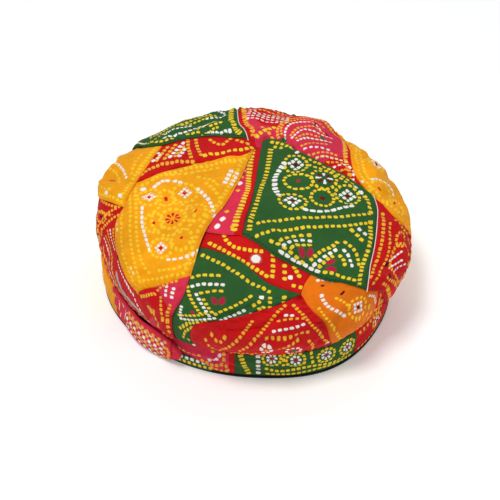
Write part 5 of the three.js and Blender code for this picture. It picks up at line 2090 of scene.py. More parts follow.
    def patch(self, patch: BandPatch, seed: int) -> bpy.types.Object:
        """Makes one patch of a turn.

        Args:
            patch: the patch.
            seed: the number that its waves are chosen from.

        Returns:
            The piece.
        """
        around = math.radians(patch.end - patch.start) * 119
        shares = self.shares(around)
        azimuth = patch.start + 0.02 + (patch.end - patch.start - 0.04) * shares
        t = self.shares(26.0)
        A, T = np.meshgrid(azimuth, t, indexing="ij")
        a, tt = A.ravel(), T.ravel()
        along = (a - patch.start) / (patch.end - patch.start)
        a = a - patch.rounded_end * np.abs(1.7 * tt - 1) ** 2.2 * smooth((along - 0.6) / 0.4)
        face = self.form.section(a, 0) + self.from_table(patch.table, a, "raised")
        bottom = self.from_table(patch.table, a, "bottom")
        wanted = self.from_table(patch.table, a, "top")
        neck = self.form.neck_height - self.under_gap
        inner_top = np.where(wanted > 0, wanted, neck)
        outer_top = np.where(
            wanted > 0, wanted,
            self.form.under_height(a, self.form.section(a, 0) - self.roll) - self.under_gap
        )
        inner_z = bottom + (inner_top - bottom) * tt
        outer_z = bottom + (outer_top - bottom) * tt
        clear = np.where(inner_z > neck, self.form.under_radius(a, inner_z) + self.under_gap, 0)
        inner_r = np.maximum(face - self.inner, clear)
        outer_r = inner_r + self.inner - self.roll + self.swell * np.sin(math.pi * tt)
        arc = np.radians(a - patch.start) * 119
        ripples = Ripples(seed)
        hemmed = [arc, around - arc]
        high = (outer_top - bottom) * (1 - tt)
        low = (outer_top - bottom) * tt
        outer_r -= self.sheet.round_off(low) + self.sheet.round_off(high)
        for d, kind in zip(hemmed, patch.ends, strict=True):
            if kind is Side.SEAM:
                outer_r -= 0.7 * self.sheet.round_off(d)
            elif kind is Side.HEM:
                outer_r -= self.sheet.round_off(d) * 1.4
                outer_r += 0.4 * np.exp(-((d - 1.8) ** 2) / 1.2) - 0.4 * np.exp(-((d - 4.4) ** 2) / 0.6)
        waves = ripples.lie(np.stack([arc * 0.55, outer_z * 1.9], -1))
        outer_r += 0.55 * waves * np.sin(math.pi * tt) ** 0.7
        outer_r += self.fold(a, outer_z) * np.minimum(1, np.minimum(low, high) / 2.5)
        outer_r = np.maximum(outer_r, inner_r + 0.2)
        shape = (len(azimuth), len(t))
        turn = np.radians(a)
        outer = np.stack([outer_r * np.cos(turn), outer_r * np.sin(turn), outer_z], -1).reshape(*shape, 3)
        inner = np.stack([inner_r * np.cos(turn), inner_r * np.sin(turn), inner_z], -1).reshape(*shape, 3)
        flat = np.stack([arc, outer_z], -1).reshape(*shape, 2)
        made = self.sheet.build(f"{patch.name}_sheet", outer, inner, flat, False)
        zone = np.full(shape, -9.0)
        for at, tilt, width in patch.zones:
            zone = np.maximum(zone, width / 2 - np.abs(flat[..., 0] - at - tilt * flat[..., 1]))
        self.sheet.print_on(made, flat, patch.motifs, zone)
        self.declare(made, patch.name, patch.cloth, around, self.strip, outer)
        return made

    def shares(self, long: float) -> Array:
        """Shares of a way across, closer together by its ends."""
        edge = [0.0, 0.3, 0.7, 1.3, 2.1]
        count = max(3, round((long - 2 * edge[-1]) / self.cell))
        middle = np.linspace(edge[-1], long - edge[-1], count + 1)
        return np.concatenate([edge[:-1], middle, long - np.array(edge[:-1])[::-1]]) / long

    def fold(self, azimuth: Array, z: Array) -> Array:
        """How far the band's folds push its face in or out, in millimetres."""
        total = np.zeros(len(azimuth))
        for f in self.folds:
            for lap in (-360, 0, 360):
                a0, a1 = math.radians(f.start[0] + lap) * 119, math.radians(f.end[0] + lap) * 119
                d = np.array([a1 - a0, f.end[1] - f.start[1]])
                size = float(d @ d)
                rel = np.stack([np.radians(azimuth) * 119 - a0, z - f.start[1]], -1)
                raw = rel @ d / size
                share = np.clip(raw, 0, 1)
                off = np.linalg.norm(rel - share[:, None] * d, axis=1)
                side = np.sign(rel[:, 1] * d[0] - rel[:, 0] * d[1])
                q = off / f.width
                fade = smooth(np.minimum(raw, 1 - raw) * 6)
                total += f.depth * fade * (-np.exp(-q * q) + 0.7 * np.exp(-((q - 1.5) ** 2)) * (side > 0))
        return total

    def lower_turn(self) -> bpy.types.Object:
        """The narrow lower turn, a whole ring that shows at the front left."""
        count = 480
        azimuth = np.arange(count + 1) * 360 / count
        t = np.array([0, 0.08, 0.2, 0.36, 0.5, 0.64, 0.8, 0.92, 1.0])
        A, T = np.meshgrid(azimuth, t, indexing="ij")
        a, tt = A.ravel(), T.ravel()
        swell = np.interp(a, [233, 238, 253, 259], [0, 4.2, 4.2, 0])
        face = self.form.section(a, 0) - self.lower_face
        low = self.bottom - 0.4 * swell
        z = low + (self.lower_top - low) * tt
        arc = np.radians(a) * 115
        waves = Ripples(310).lie(
            np.stack([20 * np.cos(np.radians(a)) * 3, 20 * np.sin(np.radians(a)) * 3], -1)
        )
        outer_r = face + swell - 0.9 * (np.abs(2 * tt - 1) ** 3) + 0.25 * waves
        inner_r = face - 2.4
        turn = np.radians(a)
        shape = (len(azimuth), len(t))
        outer = np.stack([outer_r * np.cos(turn), outer_r * np.sin(turn), z], -1).reshape(*shape, 3)
        inner = np.stack([inner_r * np.cos(turn), inner_r * np.sin(turn), z], -1).reshape(*shape, 3)
        flat = np.stack([arc, z], -1).reshape(*shape, 2)
        made = self.sheet.build("band_lower_turn_sheet", outer, inner, flat, False)
        rows = [
            row(ROW, 4.4, (0, 5), (360, 5), (722, 5)),
            row(Dot(3.0, 2.8, Ink.WHITE), 4.8, (0, 9), (360, 9), (722, 9)),
        ]
        self.sheet.print_on(made, flat, rows, np.full(shape, -9.0))
        self.declare(made, "band_lower_turn", Cloth.GREEN, 722, 6, outer)
        return made

    def declare(
        self, made: bpy.types.Object, node: str, cloth: Cloth, wide: float, high: float, top: Array
    ) -> None:
        """Gives the band piece its cloth, puts it under the root body, hides the solid that it stands for and
        logs its cut. The strip's height is a chosen one and isn't measured.
        """
        area = face_area(top) / self.slack_share
        wide, high = wide + self.end_allowance, max(high, self.least_strip)
        while wide * high < area:
            high *= self.heighten
        while area < self.least_fill * wide * high:
            high *= self.shorten
        stand_for(made, node, cloth)
        log.info("%s: %d faces, cut %.0f by %.0f mm", node, len(made.data.polygons), wide, high)


class Lining:
    """The black padded cap: its foot under the band, the hollow for the head and the wall under the wraps."""

    head_radius = 89.0
    head_straight = 50.0
    head_depth = 84.0
    foot = 2.2
    cap_gap = 0.9
    sides = 176
    tuck_waves = 26
    tuck_depth = 0.5
    groove_height = 10
    groove_depth = 0.7

    def __init__(self, form: CrownForm, layering: Layering) -> None:
        """Keeps the form and the cloth's thickness."""
        self.form = form
        self.layering = layering

    def build(self) -> bpy.types.Object:
        """Makes the cap as one closed wall.

        Returns:
            The piece.
        """
        angles = np.arange(self.sides) * 360 / self.sides
        clear = self.layering.cloth + self.cap_gap
        rings: list[Array] = []
        for reach in (
            4, 10, 16, 27, 38, 49, 60, 71, 82, 92, 103, 113, 122, 130, 138, 144, 150, 156, 161, 167, 172,
            178, 183,
        ):
            x, y = reach * np.cos(np.radians(angles)), reach * np.sin(np.radians(angles))
            rings.append(self.form.point(x, y, np.full(len(angles), -clear)))
        face = self.form.section(angles, 0)
        wall = face - self.form.neck_inset - self.cap_gap
        tucks = np.abs(np.sin(np.radians(angles) * self.tuck_waves))
        profile = [
            (wall, self.form.neck_height + clear - 0.4),
            (wall, 12.0),
            (wall, self.foot),
            (face - 1.2, self.foot + 0.0),
            (face - 0.5, self.foot - 0.35),
            (face - 0.3, self.foot / 2),
            (face - 0.6, 0.35),
            (face - 1.6, 0.0),
            (face - 8, 0.0),
            (np.full(len(angles), 96.0), 0.0),
            (np.full(len(angles), 91.4), 0.0),
            (np.full(len(angles), 89.8), 0.5),
            (np.full(len(angles), self.head_radius), 2.0),
        ]
        for z in (6, 9, 10, 11, 16, 23, 30, 37, 44, 50):
            groove = self.groove_depth if z == self.groove_height else 0.0
            tuck = self.tuck_depth * tucks * math.sin(math.pi * z / 60)
            profile.append((self.head_radius + groove - tuck, float(z)))
        for angle in (8, 16, 24, 32, 40, 48, 56, 64, 72, 80, 86):
            radius = self.head_radius * math.cos(math.radians(angle))
            rise = (self.head_depth - self.head_straight) * math.sin(math.radians(angle)) ** 0.75
            fade = math.cos(math.radians(angle))
            profile.append((radius - self.tuck_depth * tucks * fade, self.head_straight + rise))
        for radius, z in profile:
            r = radius * np.ones(len(angles))
            rings.append(
                np.stack(
                    [r * np.cos(np.radians(angles)), r * np.sin(np.radians(angles)), np.full(len(angles), z)],
                    -1,
                )
            )
        count = len(angles)
        points = [self.form.point(np.array([0.01]), np.array([0.0]), np.array([-clear]))[0]]
        points += [p for ring in rings for p in ring]
        points.append(np.array([0.0, 0.0, self.head_depth]))

        def at(ring: int, i: int) -> int:
            """A point's number, from its ring and its place round it."""
            return 1 + ring * count + i % count

        faces: list[tuple[int, ...]] = [(0, at(0, i), at(0, i + 1)) for i in range(count)]
        for ring in range(len(rings) - 1):
            faces += [
                (at(ring, i), at(ring + 1, i), at(ring + 1, i + 1), at(ring, i + 1)) for i in range(count)
            ]
        faces += [(len(points) - 1, at(len(rings) - 1, i + 1), at(len(rings) - 1, i)) for i in range(count)]
        mesh = bpy.data.meshes.new("lining")
        moved = (np.array(points) + (*BOX_MIDDLE, 0.0)) * MM
        mesh.from_pydata(moved.tolist(), [], faces)
        mesh.polygons.foreach_set("use_smooth", np.ones(len(mesh.polygons), bool))
        made = new_object("lining", mesh)
        stand_for(made, "lining_cap", Cloth.LINING)
        log.info("lining: %d faces", len(mesh.polygons))
        return made


class Nodes:
    """A short way to place and join shader or geometry nodes."""

    def __init__(self, tree: bpy.types.NodeTree) -> None:
        """Keeps the tree."""
        self.tree = tree
        self.count = 0

    def add(self, kind: str, **values: object) -> bpy.types.Node:
        """Adds a node and sets its properties."""
        node = self.tree.nodes.new(kind)
        node.location = (180 * (self.count % 12), -220 * (self.count // 12))
        self.count += 1
        for name, value in values.items():
            setattr(node, name, value)
        return node

    def put(self, socket: bpy.types.NodeSocket, value: object) -> None:
        """Sets a socket to a number, or joins another socket to it."""
        if isinstance(value, bpy.types.NodeSocket):
            self.tree.links.new(value, socket)
        else:
            socket.default_value = value

    def grey(self, shade: bpy.types.NodeSocket) -> bpy.types.NodeSocket:
        """A grey of a shade."""
        node = self.add("ShaderNodeCombineColor")
        for socket in node.inputs[:3]:
            self.put(socket, shade)
        return node.outputs[0]

    def math(self, operation: str, *values: object, clamp: bool = False) -> bpy.types.NodeSocket:
        """A Math node's result."""
        node = self.add("ShaderNodeMath", operation=operation, use_clamp=clamp)
        for socket, value in zip(node.inputs, values):
            self.put(socket, value)
        return node.outputs[0]

    def mix(self, share: object, a: object, b: object, blend: str = "MIX") -> bpy.types.NodeSocket:
        """A colour mix's result."""
        node = self.add("ShaderNodeMix", data_type="RGBA", blend_type=blend)
        self.put(node.inputs[0], share)
        self.put(node.inputs[6], a)
        self.put(node.inputs[7], b)
        return node.outputs[2]

    def ease(self, value: object, low: float, high: float) -> bpy.types.NodeSocket:
        """A smooth step from low to high."""
        node = self.add("ShaderNodeMapRange", interpolation_type="SMOOTHSTEP")
        self.put(node.inputs[0], value)
        node.inputs[1].default_value = low
        node.inputs[2].default_value = high
        return node.outputs[0]

    def noise(
        self, vector: object, scale: float, detail: float = 2.0, rough: float = 0.5
    ) -> bpy.types.NodeSocket:
        """A noise texture's value."""
        node = self.add("ShaderNodeTexNoise")
        self.put(node.inputs["Vector"], vector)
        node.inputs["Scale"].default_value = scale
        node.inputs["Detail"].default_value = detail
        node.inputs["Roughness"].default_value = rough
        return node.outputs[0]


def new_material(name: str) -> tuple[bpy.types.Material, Nodes, bpy.types.Node]:
    """A new material, with a way to place its nodes and its shader."""
    material = bpy.data.materials.new(name)
    material.use_nodes = True
    return material, Nodes(material.node_tree), material.node_tree.nodes["Principled BSDF"]


def new_group(
    name: str, inputs: Sequence[tuple[str, str]], outputs: Sequence[tuple[str, str]]
) -> tuple[bpy.types.NodeTree, Nodes, bpy.types.Node, bpy.types.Node]:
    """An empty shader node group with named sockets."""
    tree = bpy.data.node_groups.new(name, "ShaderNodeTree")
    for label, kind in inputs:
        tree.interface.new_socket(label, in_out="INPUT", socket_type=kind)
    for label, kind in outputs:
        tree.interface.new_socket(label, in_out="OUTPUT", socket_type=kind)
    nodes = Nodes(tree)
    return tree, nodes, nodes.add("NodeGroupInput"), nodes.add("NodeGroupOutput")


FLOAT, COLOUR, VECTOR = "NodeSocketFloat", "NodeSocketColor", "NodeSocketVector"


class Effects:
    """The shader node groups that the cloths share."""

    def __init__(self) -> None:
        """Builds the groups once."""
        self.weave = self.make_weave()
        self.dot = self.make_dot()
        self.dots = self.make_dots()
        self.wear = self.make_wear()

    def make_weave(self) -> bpy.types.NodeTree:
        """Plain weave: threads that go over and under each other, on the cloth's own UV in metres."""
        tree, n, given, out = new_group(
            "plain_weave", [("Pitch", FLOAT)], [("Height", FLOAT), ("Shade", FLOAT)]
        )
        uv = n.add("ShaderNodeUVMap", uv_map="cloth")
        split = n.add("ShaderNodeSeparateXYZ")
        n.put(split.inputs[0], uv.outputs[0])
        u = n.math("DIVIDE", split.outputs[0], given.outputs[0])
        v = n.math("DIVIDE", split.outputs[1], given.outputs[0])
        checker = n.math(
            "MODULO", n.math("ABSOLUTE", n.math("ADD", n.math("FLOOR", u), n.math("FLOOR", v))), 2.0
        )
        warp = n.math("ABSOLUTE", n.math("SINE", n.math("MULTIPLY", u, math.pi)))
        weft = n.math("ABSOLUTE", n.math("SINE", n.math("MULTIPLY", v, math.pi)))
        first = n.math("MULTIPLY", warp, checker)
        second = n.math("MULTIPLY", weft, n.math("SUBTRACT", 1.0, checker))
        height = n.math("ADD", first, second)
        slub = n.noise(uv.outputs[0], 900.0, 1.0)
        n.put(out.inputs[0], n.math("ADD", height, n.math("MULTIPLY", slub, 0.5)))
        n.put(out.inputs[1], n.math("ADD", n.math("MULTIPLY", height, 0.10), n.math("MULTIPLY", slub, 0.10)))
        return tree

    def make_dot(self) -> bpy.types.NodeTree:
        """A printed dot: from a place in its row's cell, its size and its ink's cover to a soft-edged mask."""
        tree, n, given, out = new_group(
            "printed_dot",
            [("Place", VECTOR), ("Shape", VECTOR), ("Cover", FLOAT), ("Wobble", VECTOR), ("Soft", FLOAT)],
            [("Mask", FLOAT), ("Halo", FLOAT)],
        )
        shift, p, s = (n.add("ShaderNodeSeparateXYZ") for _ in range(3))
        n.put(shift.inputs[0], given.outputs["Wobble"])
        n.put(p.inputs[0], given.outputs["Place"])
        n.put(s.inputs[0], given.outputs["Shape"])
        cell = n.math("SUBTRACT", n.math("FRACT", p.outputs[0]), 0.5)
        along = n.math("ADD", n.math("MULTIPLY", cell, s.outputs[0]), shift.outputs[0])
        across = n.math("ADD", p.outputs[1], shift.outputs[1])
        a = n.math("POWER", n.math("ABSOLUTE", n.math("DIVIDE", along, s.outputs[1])), p.outputs[2])
        b = n.math("POWER", n.math("ABSOLUTE", n.math("DIVIDE", across, s.outputs[2])), p.outputs[2])
        size = n.math("ADD", a, b)
        inside = n.add("ShaderNodeMapRange", interpolation_type="SMOOTHSTEP")
        n.put(inside.inputs[0], size)
        n.put(inside.inputs[1], n.math("ADD", 1.0, given.outputs["Soft"]))
        n.put(inside.inputs[2], n.math("SUBTRACT", 1.0, given.outputs["Soft"]))
        n.put(out.inputs[0], n.math("MULTIPLY", inside.outputs[0], given.outputs["Cover"]))
        n.put(out.inputs[1], n.math("MULTIPLY", n.ease(size, 2.6, 0.9), given.outputs["Cover"]))
        return tree

    def make_dots(self) -> bpy.types.NodeTree:
        """The printed dots: a face's two nearest dots, laid over each other."""
        tree, n, given, out = new_group(
            "printed_dots", [("Wobble", FLOAT), ("Soft", FLOAT)],
            [("Mask", FLOAT), ("Ink", COLOUR), ("Halo", FLOAT)]
        )
        wobble = n.add("ShaderNodeTexNoise")
        n.put(wobble.inputs["Vector"], n.add("ShaderNodeTexCoord").outputs["Object"])
        wobble.inputs["Scale"].default_value = 420.0
        wobble.inputs["Detail"].default_value = 1.0
        centred = n.add("ShaderNodeVectorMath", operation="SUBTRACT")
        n.put(centred.inputs[0], wobble.outputs["Color"])
        centred.inputs[1].default_value = (0.5, 0.5, 0.5)
        scaled = n.add("ShaderNodeVectorMath", operation="SCALE")
        n.put(scaled.inputs[0], centred.outputs[0])
        n.put(scaled.inputs["Scale"], given.outputs["Wobble"])
        masks, halos, inks = [], [], []
        for label in ("near", "next"):
            ink = n.add("ShaderNodeAttribute", attribute_name=f"{label}_ink")
            dot = n.add("ShaderNodeGroup", node_tree=self.dot)
            n.put(
                dot.inputs["Place"],
                n.add("ShaderNodeAttribute", attribute_name=f"{label}_place").outputs["Vector"],
            )
            n.put(
                dot.inputs["Shape"],
                n.add("ShaderNodeAttribute", attribute_name=f"{label}_shape").outputs["Vector"],
            )
            n.put(dot.inputs["Cover"], ink.outputs["Alpha"])
            n.put(dot.inputs["Wobble"], scaled.outputs[0])
            n.put(dot.inputs["Soft"], given.outputs["Soft"])
            masks.append(dot.outputs["Mask"])
            halos.append(dot.outputs["Halo"])
            inks.append(ink.outputs["Color"])
        n.put(out.inputs[0], n.math("MAXIMUM", *masks))
        n.put(out.inputs[1], n.mix(n.math("GREATER_THAN", masks[1], n.math("ADD", masks[0], 0.01)), *inks))
        n.put(out.inputs[2], n.math("MAXIMUM", *halos))
        return tree

    def make_wear(self) -> bpy.types.NodeTree:
        """The cloth's uneven dye and its small creases, on the object's own coordinates."""
        tree, n, given, out = new_group(
            "uneven_dye", [("Amount", FLOAT)], [("Shade", FLOAT), ("Height", FLOAT), ("Rough", FLOAT)]
        )
        at = n.add("ShaderNodeTexCoord").outputs["Object"]
        broad = n.noise(at, 24.0, 3.0)
        fine = n.noise(at, 160.0, 3.0, 0.6)
        creases = n.noise(at, 85.0, 4.0, 0.62)
        stretched = n.add("ShaderNodeMapping")
        n.put(stretched.inputs[0], at)
        stretched.inputs["Scale"].default_value = (1.0, 1.0, 2.6)
        ridges = n.math("ABSOLUTE", n.math("SUBTRACT", n.noise(stretched.outputs[0], 46.0, 2.0, 0.4), 0.5))
        shade = n.math(
            "ADD",
            n.math("MULTIPLY", n.math("SUBTRACT", broad, 0.5), 1.2),
            n.math("MULTIPLY", n.math("SUBTRACT", fine, 0.5), 0.7),
        )
        n.put(out.inputs[0], n.math("ADD", 1.0, n.math("MULTIPLY", shade, given.outputs[0])))
        n.put(out.inputs[1], n.math("ADD", n.math("MULTIPLY", creases, 0.6), n.math("MULTIPLY", ridges, 1.3)))
        n.put(out.inputs[2], fine)
        return tree


@dataclass(frozen=True)
class Finish:
    """A cloth's finish: its ground, its second ground and how it takes the light."""

    ground: tuple[float, float, float]
    second: tuple[float, float, float]
    roughness: float = 0.82
    sheen: float = 0.03
    print_halo: float = 0.25
    weave_pitch: float = 0.62  # millimetres
    dye: float = 0.5
    crease: float = 0.9  # millimetres


class Fabrics:
    """The cloths' materials, made when they are first asked for."""

    FINISHES: dict[Cloth, Finish] = {
        Cloth.GREEN: Finish((0.17, 0.36, 0.16), (0.12, 0.30, 0.13)),
        Cloth.ORANGE: Finish((0.98, 0.65, 0.04), (0.93, 0.46, 0.03)),
        Cloth.RED: Finish((0.80, 0.05, 0.06), (0.86, 0.14, 0.26)),
        Cloth.PINK: Finish((0.87, 0.18, 0.30), (0.80, 0.05, 0.08)),
        Cloth.LINING: Finish((0.075, 0.07, 0.08), (0.06, 0.06, 0.07), roughness=0.9, dye=0.2),
    }

    def __init__(self) -> None:
        """Starts with no materials."""
        self.made: dict[Cloth, bpy.types.Material] = {}
        self.effects: Effects | None = None

    def of(self, cloth: Cloth) -> bpy.types.Material:
        """The material of a cloth."""
        if self.effects is None:
            self.effects = Effects()
        if cloth not in self.made:
            self.made[cloth] = self.lining() if cloth is Cloth.LINING else self.printed(cloth)
        return self.made[cloth]

    def group(self, n: Nodes, tree: bpy.types.NodeTree, **values: float) -> bpy.types.Node:
        """Places a group in a material with its own values."""
        node = n.add("ShaderNodeGroup", node_tree=tree)
        for name, value in values.items():
            node.inputs[name].default_value = value
        return node

    def printed(self, cloth: Cloth) -> bpy.types.Material:
        """Printed cotton: two grounds, uneven dye, dots with soft edges, weave and small creases."""
        finish = self.FINISHES[cloth]
        material = bpy.data.materials.new(cloth.value)
        material.use_nodes = True
        n = Nodes(material.node_tree)
        shader = material.node_tree.nodes["Principled BSDF"]
        weave = self.group(n, self.effects.weave, Pitch=finish.weave_pitch * MM)
        dots = self.group(n, self.effects.dots, Wobble=0.9, Soft=0.18)
        wear = self.group(n, self.effects.wear, Amount=finish.dye)
        zone = n.add("ShaderNodeAttribute", attribute_name="zone")
        inside = n.ease(zone.outputs["Fac"], -0.35, 0.35)
        ground = n.mix(inside, (*linear(finish.ground), 1), (*linear(finish.second), 1))
        shade = n.math("MULTIPLY", wear.outputs["Shade"], n.math("SUBTRACT", 1.08, weave.outputs["Shade"]))
        grey = n.grey(shade)
        ground = n.mix(1.0, ground, grey, "MULTIPLY")
        halo = n.math("MULTIPLY", dots.outputs["Halo"], finish.print_halo)
        tinted = n.mix(halo, ground, n.mix(0.5, ground, dots.outputs["Ink"]))
        inked = n.mix(0.85, dots.outputs["Ink"], grey, "MULTIPLY")
        colour = n.mix(dots.outputs["Mask"], tinted, inked)
        n.put(shader.inputs["Base Color"], colour)
        rough = n.math("ADD", finish.roughness - 0.06, n.math("MULTIPLY", wear.outputs["Rough"], 0.14))
        n.put(shader.inputs["Roughness"], rough)
        shader.inputs["Specular IOR Level"].default_value = 0.14
        shader.inputs["Sheen Weight"].default_value = finish.sheen
        shader.inputs["Sheen Roughness"].default_value = 0.55
        height = n.math(
            "ADD",
            n.math("MULTIPLY", weave.outputs["Height"], 0.10),
            n.math("MULTIPLY", wear.outputs["Height"], finish.crease),
        )
        height = n.math("ADD", height, n.math("MULTIPLY", dots.outputs["Mask"], 0.10))
        bump = n.add("ShaderNodeBump")
        bump.inputs["Strength"].default_value = 0.75
        bump.inputs["Distance"].default_value = MM
        n.put(bump.inputs["Height"], height)
        n.put(shader.inputs["Normal"], bump.outputs[0])
        return material

    def lining(self) -> bpy.types.Material:
        """Plain black cotton lining."""
        finish = self.FINISHES[Cloth.LINING]
        material, n, shader = new_material(Cloth.LINING.value)
        wear = self.group(n, self.effects.wear, Amount=finish.dye)
        at = n.add("ShaderNodeTexCoord").outputs["Object"]
        threads = n.add("ShaderNodeTexWave", wave_type="BANDS", bands_direction="DIAGONAL")
        n.put(threads.inputs["Vector"], at)
        threads.inputs["Scale"].default_value = 260.0
        threads.inputs["Distortion"].default_value = 1.2
        shade = n.math(
            "MULTIPLY",
            wear.outputs["Shade"],
            n.math("ADD", 0.85, n.math("MULTIPLY", threads.outputs["Fac"], 0.3)),
        )
        grey = n.grey(shade)
        n.put(shader.inputs["Base Color"], n.mix(1.0, (*linear(finish.ground), 1), grey, "MULTIPLY"))
        n.put(
            shader.inputs["Roughness"], n.math("ADD", 0.82, n.math("MULTIPLY", wear.outputs["Rough"], 0.14))
        )
        shader.inputs["Specular IOR Level"].default_value = 0.25
        shader.inputs["Sheen Weight"].default_value = 0.15
        bump = n.add("ShaderNodeBump")
        bump.inputs["Strength"].default_value = 0.5
        bump.inputs["Distance"].default_value = MM
        n.put(
            bump.inputs["Height"],
            n.math("ADD", n.math("MULTIPLY", threads.outputs["Fac"], 0.15), wear.outputs["Height"]),
        )
        n.put(shader.inputs["Normal"], bump.outputs[0])
        return material

    def thread(self, name: str, colour: tuple[float, float, float]) -> bpy.types.Material:
        """Twisted sewing thread of a colour."""
        material, n, shader = new_material(name)
        fine = n.noise(n.add("ShaderNodeTexCoord").outputs["Object"], 1800.0, 1.0)
        n.put(
            shader.inputs["Base Color"],
            n.mix(fine, (*linear(colour), 1), (*(c * 0.8 for c in linear(colour)), 1)),
        )
        n.put(shader.inputs["Roughness"], n.math("ADD", 0.55, n.math("MULTIPLY", fine, 0.2)))
        shader.inputs["Specular IOR Level"].default_value = 0.4
        return material


FABRICS = Fabrics()


@dataclass(frozen=True)
class Camera:
    """The photograph's view."""

    elevation: float = 39.0
    distance: float = 900.0
    target_height: float = 45.0
    focal_pixels: float = 1080.0
    frame_pixels: float = 500.0
    centre_pixels: tuple[float, float] = (253.0, 238.6)

    def build(self) -> None:
        """Makes the camera."""
        data = bpy.data.cameras.new("camera")
        data.sensor_width = 36.0
        data.lens = 36.0 * self.focal_pixels / self.frame_pixels
        half = self.frame_pixels / 2
        data.shift_x = (half - self.centre_pixels[0]) / self.frame_pixels
        data.shift_y = (self.centre_pixels[1] - half) / self.frame_pixels
        data.clip_start, data.clip_end = 0.05, 20
        made = bpy.data.objects.new("camera", data)
        e = math.radians(self.elevation)
        x, y = BOX_MIDDLE
        made.location = (
            x * MM,
            (y - self.distance * math.cos(e)) * MM,
            (self.target_height + self.distance * math.sin(e)) * MM,
        )
        made.rotation_euler = (math.pi / 2 - e, 0, 0)
        bpy.context.scene.collection.objects.link(made)
        bpy.context.scene.camera = made


class Studio:
    """A plain pale floor and soft light."""

    def build(self) -> None:
        """Makes the floor, the lamps and the sky."""
        mesh = bpy.data.meshes.new("floor")
        size = 6.0
        mesh.from_pydata(
            [(-size, -size, 0), (size, -size, 0), (size, size, 0), (-size, size, 0)], [], [(0, 1, 2, 3)]
        )
        floor = new_object("floor", mesh)
        material, _, shader = new_material("pale_floor")
        shader.inputs["Base Color"].default_value = (0.9, 0.9, 0.895, 1)
        shader.inputs["Emission Color"].default_value = (1, 1, 1, 1)
        shader.inputs["Emission Strength"].default_value = 0.2
        shader.inputs["Roughness"].default_value = 0.7
        mesh.materials.append(material)
        self.lamp("key", (-0.45, -0.35, 1.8), 0.55, 18.6)
        self.lamp("fill", (1.1, -1.1, 1.0), 1.0, 3.5)
        self.lamp("back", (0.3, 1.3, 1.4), 1.0, 5.0)
        world = bpy.data.worlds.new("studio")
        world.use_nodes = True
        world.node_tree.nodes["Background"].inputs[0].default_value = (0.96, 0.98, 1.0, 1)
        world.node_tree.nodes["Background"].inputs[1].default_value = 0.38
        bpy.context.scene.world = world
        bpy.context.scene.view_settings.view_transform = "Standard"

    @staticmethod
    def lamp(name: str, place: tuple[float, float, float], size: float, power: float) -> None:
        """A soft square lamp that looks at the turban.

        Args:
            name: the lamp's name.
            place: where it hangs, in metres.
            size: its side.
            power: its power in watts.
        """
        data = bpy.data.lights.new(name, "AREA")
        data.size = size
        data.energy = power
        made = bpy.data.objects.new(name, data)
        made.location = place
        away = np.array(place) - (0, 0, 0.06)
        flat = math.hypot(away[0], away[1])
        made.rotation_euler = (math.atan2(flat, away[2]), 0, math.atan2(away[0], -away[1]))
        bpy.context.scene.collection.objects.link(made)


@dataclass(frozen=True)
class Stitch:
    """How a thread is sewn: its height over the cloth in mm, then its spacing, length and radius in metres."""

    raised: float
    spacing: float
    length: float
    radius: float


